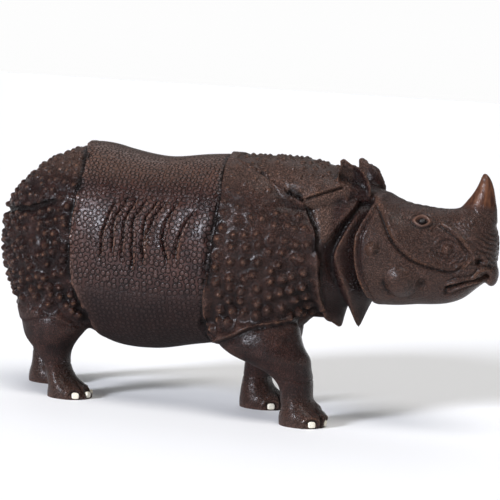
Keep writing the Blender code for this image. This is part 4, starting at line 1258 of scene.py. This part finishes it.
def carved_wood():
    """Near-black brown wood: punched rings between the hems, fine stipple elsewhere, rubbed orange on what stands up,
    and painted light and shade: highlights on bulges, warts and wrinkle crests, shade in hollows, creases and low on
    the trunk, top light along the back.
    """
    s = Shader(bpy.data.materials.new("carved_wood"))
    place = s.add("TexCoord", output="Object")
    saddle, tips, worn_and_highlight, crease_shade, warm_and_top_light, red_and_collar_shade, horn, eye = (
        s.attribute(name) for name in ("saddle", "tips", "worn_and_highlight", "crease_shade", "warm_and_top_light", "red_and_collar_shade", "horn", "eye"))
    proud_highlight, deep, under, calm, shade, large = (
        s.attribute(name) for name in ("proud_highlight", "deep", "under", "calm", "shade", "large"))
    height_above = s.add("SeparateXYZ", output="Z", Vector=place)
    broad = s.noise(place, 14, 3.0)
    patches = s.noise(place, 60, 5.0, 0.6)
    fine = s.noise(place, 420, 4.0, 0.6)
    grain = s.noise(s.stretched(place, (0.16, 1.0, 1.0)), 300, 4.0, 0.6, 0.6)
    streaks = s.noise(s.stretched(place, (1.0, 1.0, 0.13)), 260, 4.0, 0.6)

    wobble = s.add("TexNoise", output="Color", Vector=place, Scale=160.0, Detail=1.0)
    ring_place = s.add("VectorMath", {0: wobble, 1: (0.8, 0.8, 0.0), 2: s.attribute("ring_map", "Vector")},
                       {"operation": "MULTIPLY_ADD"})
    grooves = []
    domes = []
    for pitch, share in zip(RING_PITCHES, (large, s.rest(large))):
        rings = s.add("TexVoronoi", settings={"voronoi_dimensions": "2D"}, output="Distance", Vector=ring_place,
                      Scale=1 / pitch, Randomness=0.5)
        line = s.rise(s.math("ABSOLUTE", s.math("SUBTRACT", rings, 0.43)), 0.11, 0.02)
        grooves.append(s.times(line, share))
        domes.append(s.times(s.rise(rings, 0.42, 0.20), share))
    ring_share = s.times(saddle, s.rise(patches, 0.25, 0.42, 0.5, 1.0))
    ring_share = s.times(ring_share, s.rise(shade, 0.2, 1.0, 1.0, 0.55))
    ring_groove = s.times(s.math("ADD", *grooves), ring_share)
    ring_dome = s.times(s.math("ADD", *domes), ring_share)
    stipple_pit = s.rise(s.noise(place, 1000, 1.0, 0.6), 0.41, 0.59)
    stipple_share = s.rest(s.math("MAXIMUM", s.math("MAXIMUM", saddle, horn), calm))

    edge = s.math("MAXIMUM", s.rise(tips, 0.35, 0.95), s.times(worn_and_highlight, 0.75))
    edge = s.times(edge, s.rise(s.noise(place, 55, 3.0), 0.38, 0.62, 0.12, 1.0))
    edge = s.times(edge, s.rise(fine, 0.30, 0.55, 0.55, 1.0))
    horn_share = s.times(horn, s.rise(height_above, 0.184, 0.196))
    horn_color = s.mix(s.rise(streaks, 0.35, 0.66), WOOD["horn dark"], WOOD["horn light"])
    color = s.mix(s.rise(patches, 0.35, 0.65), WOOD["dark"], WOOD["brown"])
    for share, layer in (
            # Warmer tone, with painted top light along the back and painted sheen on the shoulders
            (s.times(warm_and_top_light, s.rise(broad, 0.25, 0.6, 0.55, 1.0)), WOOD["warm_and_top_light"]),
            # Dark reddish brown low on the legs, painted shade on the neck folds
            (s.times(red_and_collar_shade, s.rise(patches, 0.3, 0.7, 0.4, 1.0)), WOOD["red_and_collar_shade"]),
            (s.rise(grain, 0.52, 0.72, 0.0, 0.3), WOOD["grain"]),
            # Painted shade low on the trunk between the legs
            (s.times(shade, 0.8), WOOD["shade"]),
            # Painted highlight on the broad bulges
            (s.times(proud_highlight, 0.45), WOOD["proud_highlight"]),
            # Painted shade in the broad hollows
            (s.times(deep, 0.82), WOOD["deep"]),
            # Rubbed orange on knob tips and edges, with painted highlights on warts and wrinkle crests
            (s.times(edge, 0.55), WOOD["worn_and_highlight"]),
            # Painted shade in the fine creases
            (s.times(crease_shade, 0.75), WOOD["crease_shade"]),
            (s.times(ring_groove, 0.8), WOOD["ring groove"]),
            # Painted sheen on the punched discs
            (s.times(ring_dome, 0.15), WOOD["ring dome sheen"]),
            (s.times(s.rest(stipple_pit), s.times(stipple_share, 0.72)), WOOD["pit"]),
            (s.times(horn_share, 0.8), horn_color),
            (eye, WOOD["eye"])):
        color = s.mix(share, color, layer)

    rough = s.rise(s.noise(place, 90, 3.0), 0.3, 0.7, 0.22, 0.34)
    rough = s.mix_value(eye, s.mix_value(under, rough, 0.8), 0.2)
    relief = None
    for height, distance in (
            (s.times(ring_groove, -1.0), 0.0005),
            (ring_dome, 0.0004),
            (s.times(stipple_pit, stipple_share), 0.0006),
            (s.times(streaks, horn_share), 0.0004),
            (s.times(s.noise(place, 240, 2.0), s.rest(eye)), 0.0003),
            (s.times(fine, s.rest(eye)), 0.00012)):
        relief = s.bump(height, distance, relief)
    return s.surface(Base_Color=color, Roughness=rough, Normal=relief, Specular_IOR_Level=0.18)


def pale_bone():
    """Ivory toenail: faint growth lines and patches of dark stain."""
    s = Shader(bpy.data.materials.new("pale_bone"))
    place = s.add("TexCoord", output="Object")
    lines = s.noise(s.stretched(place, (1.0, 1.0, 5.0)), 500, 3.0)
    stain = s.noise(place, 700, 4.0)
    color = s.mix(s.rise(lines, 0.35, 0.7), BONE["yellow"], BONE["white"])
    color = s.mix(s.rise(stain, 0.58, 0.78, 0.0, 0.5), color, BONE["stain"])
    return s.surface(Base_Color=color, Roughness=s.rise(stain, 0.3, 0.7, 0.28, 0.42), Normal=s.bump(lines, 0.0001))


def photo_camera():
    """The photograph's camera: it turns a little round the figure, looks slightly down and rolls a few degrees."""
    a, e, roll = (math.radians(v) for v in (VIEW_AZIMUTH, VIEW_ELEVATION, VIEW_ROLL))
    back = Vector((math.sin(a) * math.cos(e), -math.cos(a) * math.cos(e), math.sin(e)))
    level = Vector((math.cos(a), math.sin(a), 0))
    over = back.cross(level)
    right = level * math.cos(roll) + over * math.sin(roll)
    upward = over * math.cos(roll) - level * math.sin(roll)
    data = bpy.data.cameras.new("camera")
    data.lens = VIEW_LENS
    data.clip_start, data.clip_end = 0.05, 50
    camera = linked("camera", data)
    place = Matrix((right, upward, back)).transposed().to_4x4()
    place.translation = Vector(VIEW_TARGET) + back * VIEW_DISTANCE
    camera.matrix_world = place
    bpy.context.scene.camera = camera


def lamp(name, toward, spread, power, color):
    """A sun lamp, which shines from the direction toward; its spread in degrees softens its shadows."""
    data = bpy.data.lights.new(name, "SUN")
    data.angle = math.radians(spread)
    data.energy = power
    data.color = color
    light = linked(name, data)
    light.location = toward
    light.rotation_mode = "QUATERNION"
    light.rotation_quaternion = (-Vector(toward)).to_track_quat("-Z", "Y")


def studio():
    """A sky that is white along the horizon and dimmer above, a plain pale floor, and the sun lamps."""
    world = Shader(bpy.data.worlds.new("studio"), "Background")
    height = world.add("SeparateXYZ", output="Z", Vector=world.add("TexCoord", output="Generated"))
    bright = world.add("FloatCurve", Value=world.add("MapRange", {0: height, 1: -1.0}))
    curve = bright.node.mapping
    line = curve.curves[0]
    line.points[0].location = (0, SKY[0][1] / 2)
    line.points[1].location = (1, SKY[-1][1] / 2)
    for at, value in SKY:
        line.points.new(at, value / 2)
    curve.update()
    bpy.context.scene.world = world.surface(Color=(1, 1, 1, 1), Strength=world.times(bright, 2.0))
    bpy.context.scene.view_settings.view_transform = "Standard"

    corners = [(x * FLOOR_REACH, y * FLOOR_REACH, 0) for x, y in ((-1, -1), (1, -1), (1, 1), (-1, 1))]
    floor = mesh_object("floor", corners, [(0, 1, 2, 3)])
    pale = Shader(bpy.data.materials.new("pale_floor"))
    floor.data.materials.append(pale.surface(Base_Color=(0.93, 0.93, 0.93, 1), Roughness=0.6))
    for settings in LAMPS:
        lamp(*settings)


def skin(nails):
    """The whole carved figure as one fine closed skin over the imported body."""
    obj = figure()
    carve_plates(obj)
    fuse(obj, SKIN_VOXEL, 1)
    carve_lines(obj)
    carve_face(obj)
    carve_ears(obj)
    carve_feet(obj, nails)
    knobs = carve_knobs(obj)
    reduce(obj, SKIN_TRIANGLES)
    flat_soles(obj)
    mark_skin(obj, knobs)
    return obj


def part_of(middle):
    """Which part of the skin each face belongs to; the parts meet in the dark grooves of the hems and the neck."""
    x, side, z = mirror(middle).T
    angle = girth(middle)
    ears = (z > 190) * (side > 10) * (x > 70)
    leg_hem = np.where(x > FORELEG_BACK, smooth_between(SHIELD_HEM, x) - 1, 46)
    parts = np.where(x > smooth_between(SHOULDER_HEM, angle) - 0.9, SHOULDERS_PART, SADDLE_PART)
    parts = np.where(x < smooth_between(REAR_HEM, angle) - 1.4, RUMP_PART, parts)
    parts = np.where((parts == RUMP_PART) & (z < thigh_hem(x) - 1), HIND_LEGS_PART, parts)
    parts = np.where((parts == SHOULDERS_PART) & (z < leg_hem), FORELEGS_PART, parts)
    return np.where((x > smooth_between(CHEEK_EDGE, z) - 2) | ears, HEAD_PART, parts)


def split_skin(whole):
    """The skin cut along its own edges into a few meshes that share one smooth shading."""
    mesh = whole.data
    mesh.calc_loop_triangles()
    faces = np.empty(len(mesh.loop_triangles) * 3, dtype=np.int64)
    mesh.loop_triangles.foreach_get("vertices", faces)
    faces = faces.reshape(-1, 3)
    co, no = read_skin(whole)
    layers = {}
    for layer in mesh.attributes:
        if layer.domain == "POINT" and layer.name != "position" and layer.data_type in ("FLOAT", "FLOAT_VECTOR"):
            flat = layer.data_type == "FLOAT"
            values = np.empty(len(co) * (1 if flat else 3), dtype=np.float32)
            layer.data.foreach_get("value" if flat else "vector", values)
            layers[layer.name] = (values if flat else values.reshape(-1, 3), layer.data_type)
    parts = part_of(co[faces].mean(1))
    made = []
    for number, name in enumerate(SKIN_PARTS):
        used, corners = np.unique(faces[parts == number], return_inverse=True)
        corners = corners.reshape(-1, 3)
        piece = bpy.data.meshes.new(name)
        piece.vertices.add(len(used))
        piece.loops.add(corners.size)
        piece.polygons.add(len(corners))
        piece.vertices.foreach_set("co", (co[used] * MM).ravel())
        piece.loops.foreach_set("vertex_index", corners.ravel())
        piece.polygons.foreach_set("loop_start", np.arange(0, corners.size, 3))
        piece.update(calc_edges=True)
        piece.polygons.foreach_set("use_smooth", [True] * len(corners))
        obj = linked(name, piece)
        for layer, (values, kind) in layers.items():
            store(obj, layer, values[used], kind)
        piece.normals_split_custom_set_from_vertices(no[used].tolist())
        made.append(obj)
    bpy.data.objects.remove(whole)
    return made


def main():
    photo_camera()
    studio()
    bone = pale_bone()
    nails = []
    for name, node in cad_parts.items():
        if name.startswith("toenail_"):
            node.data.materials.clear()
            node.data.materials.append(bone)
            nails.append(nail_axes(name))
    wood = carved_wood()
    for piece in split_skin(skin(nails)):
        piece.data.materials.append(wood)
        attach(piece, "root")
        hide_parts("rhinoceros_body")


main()
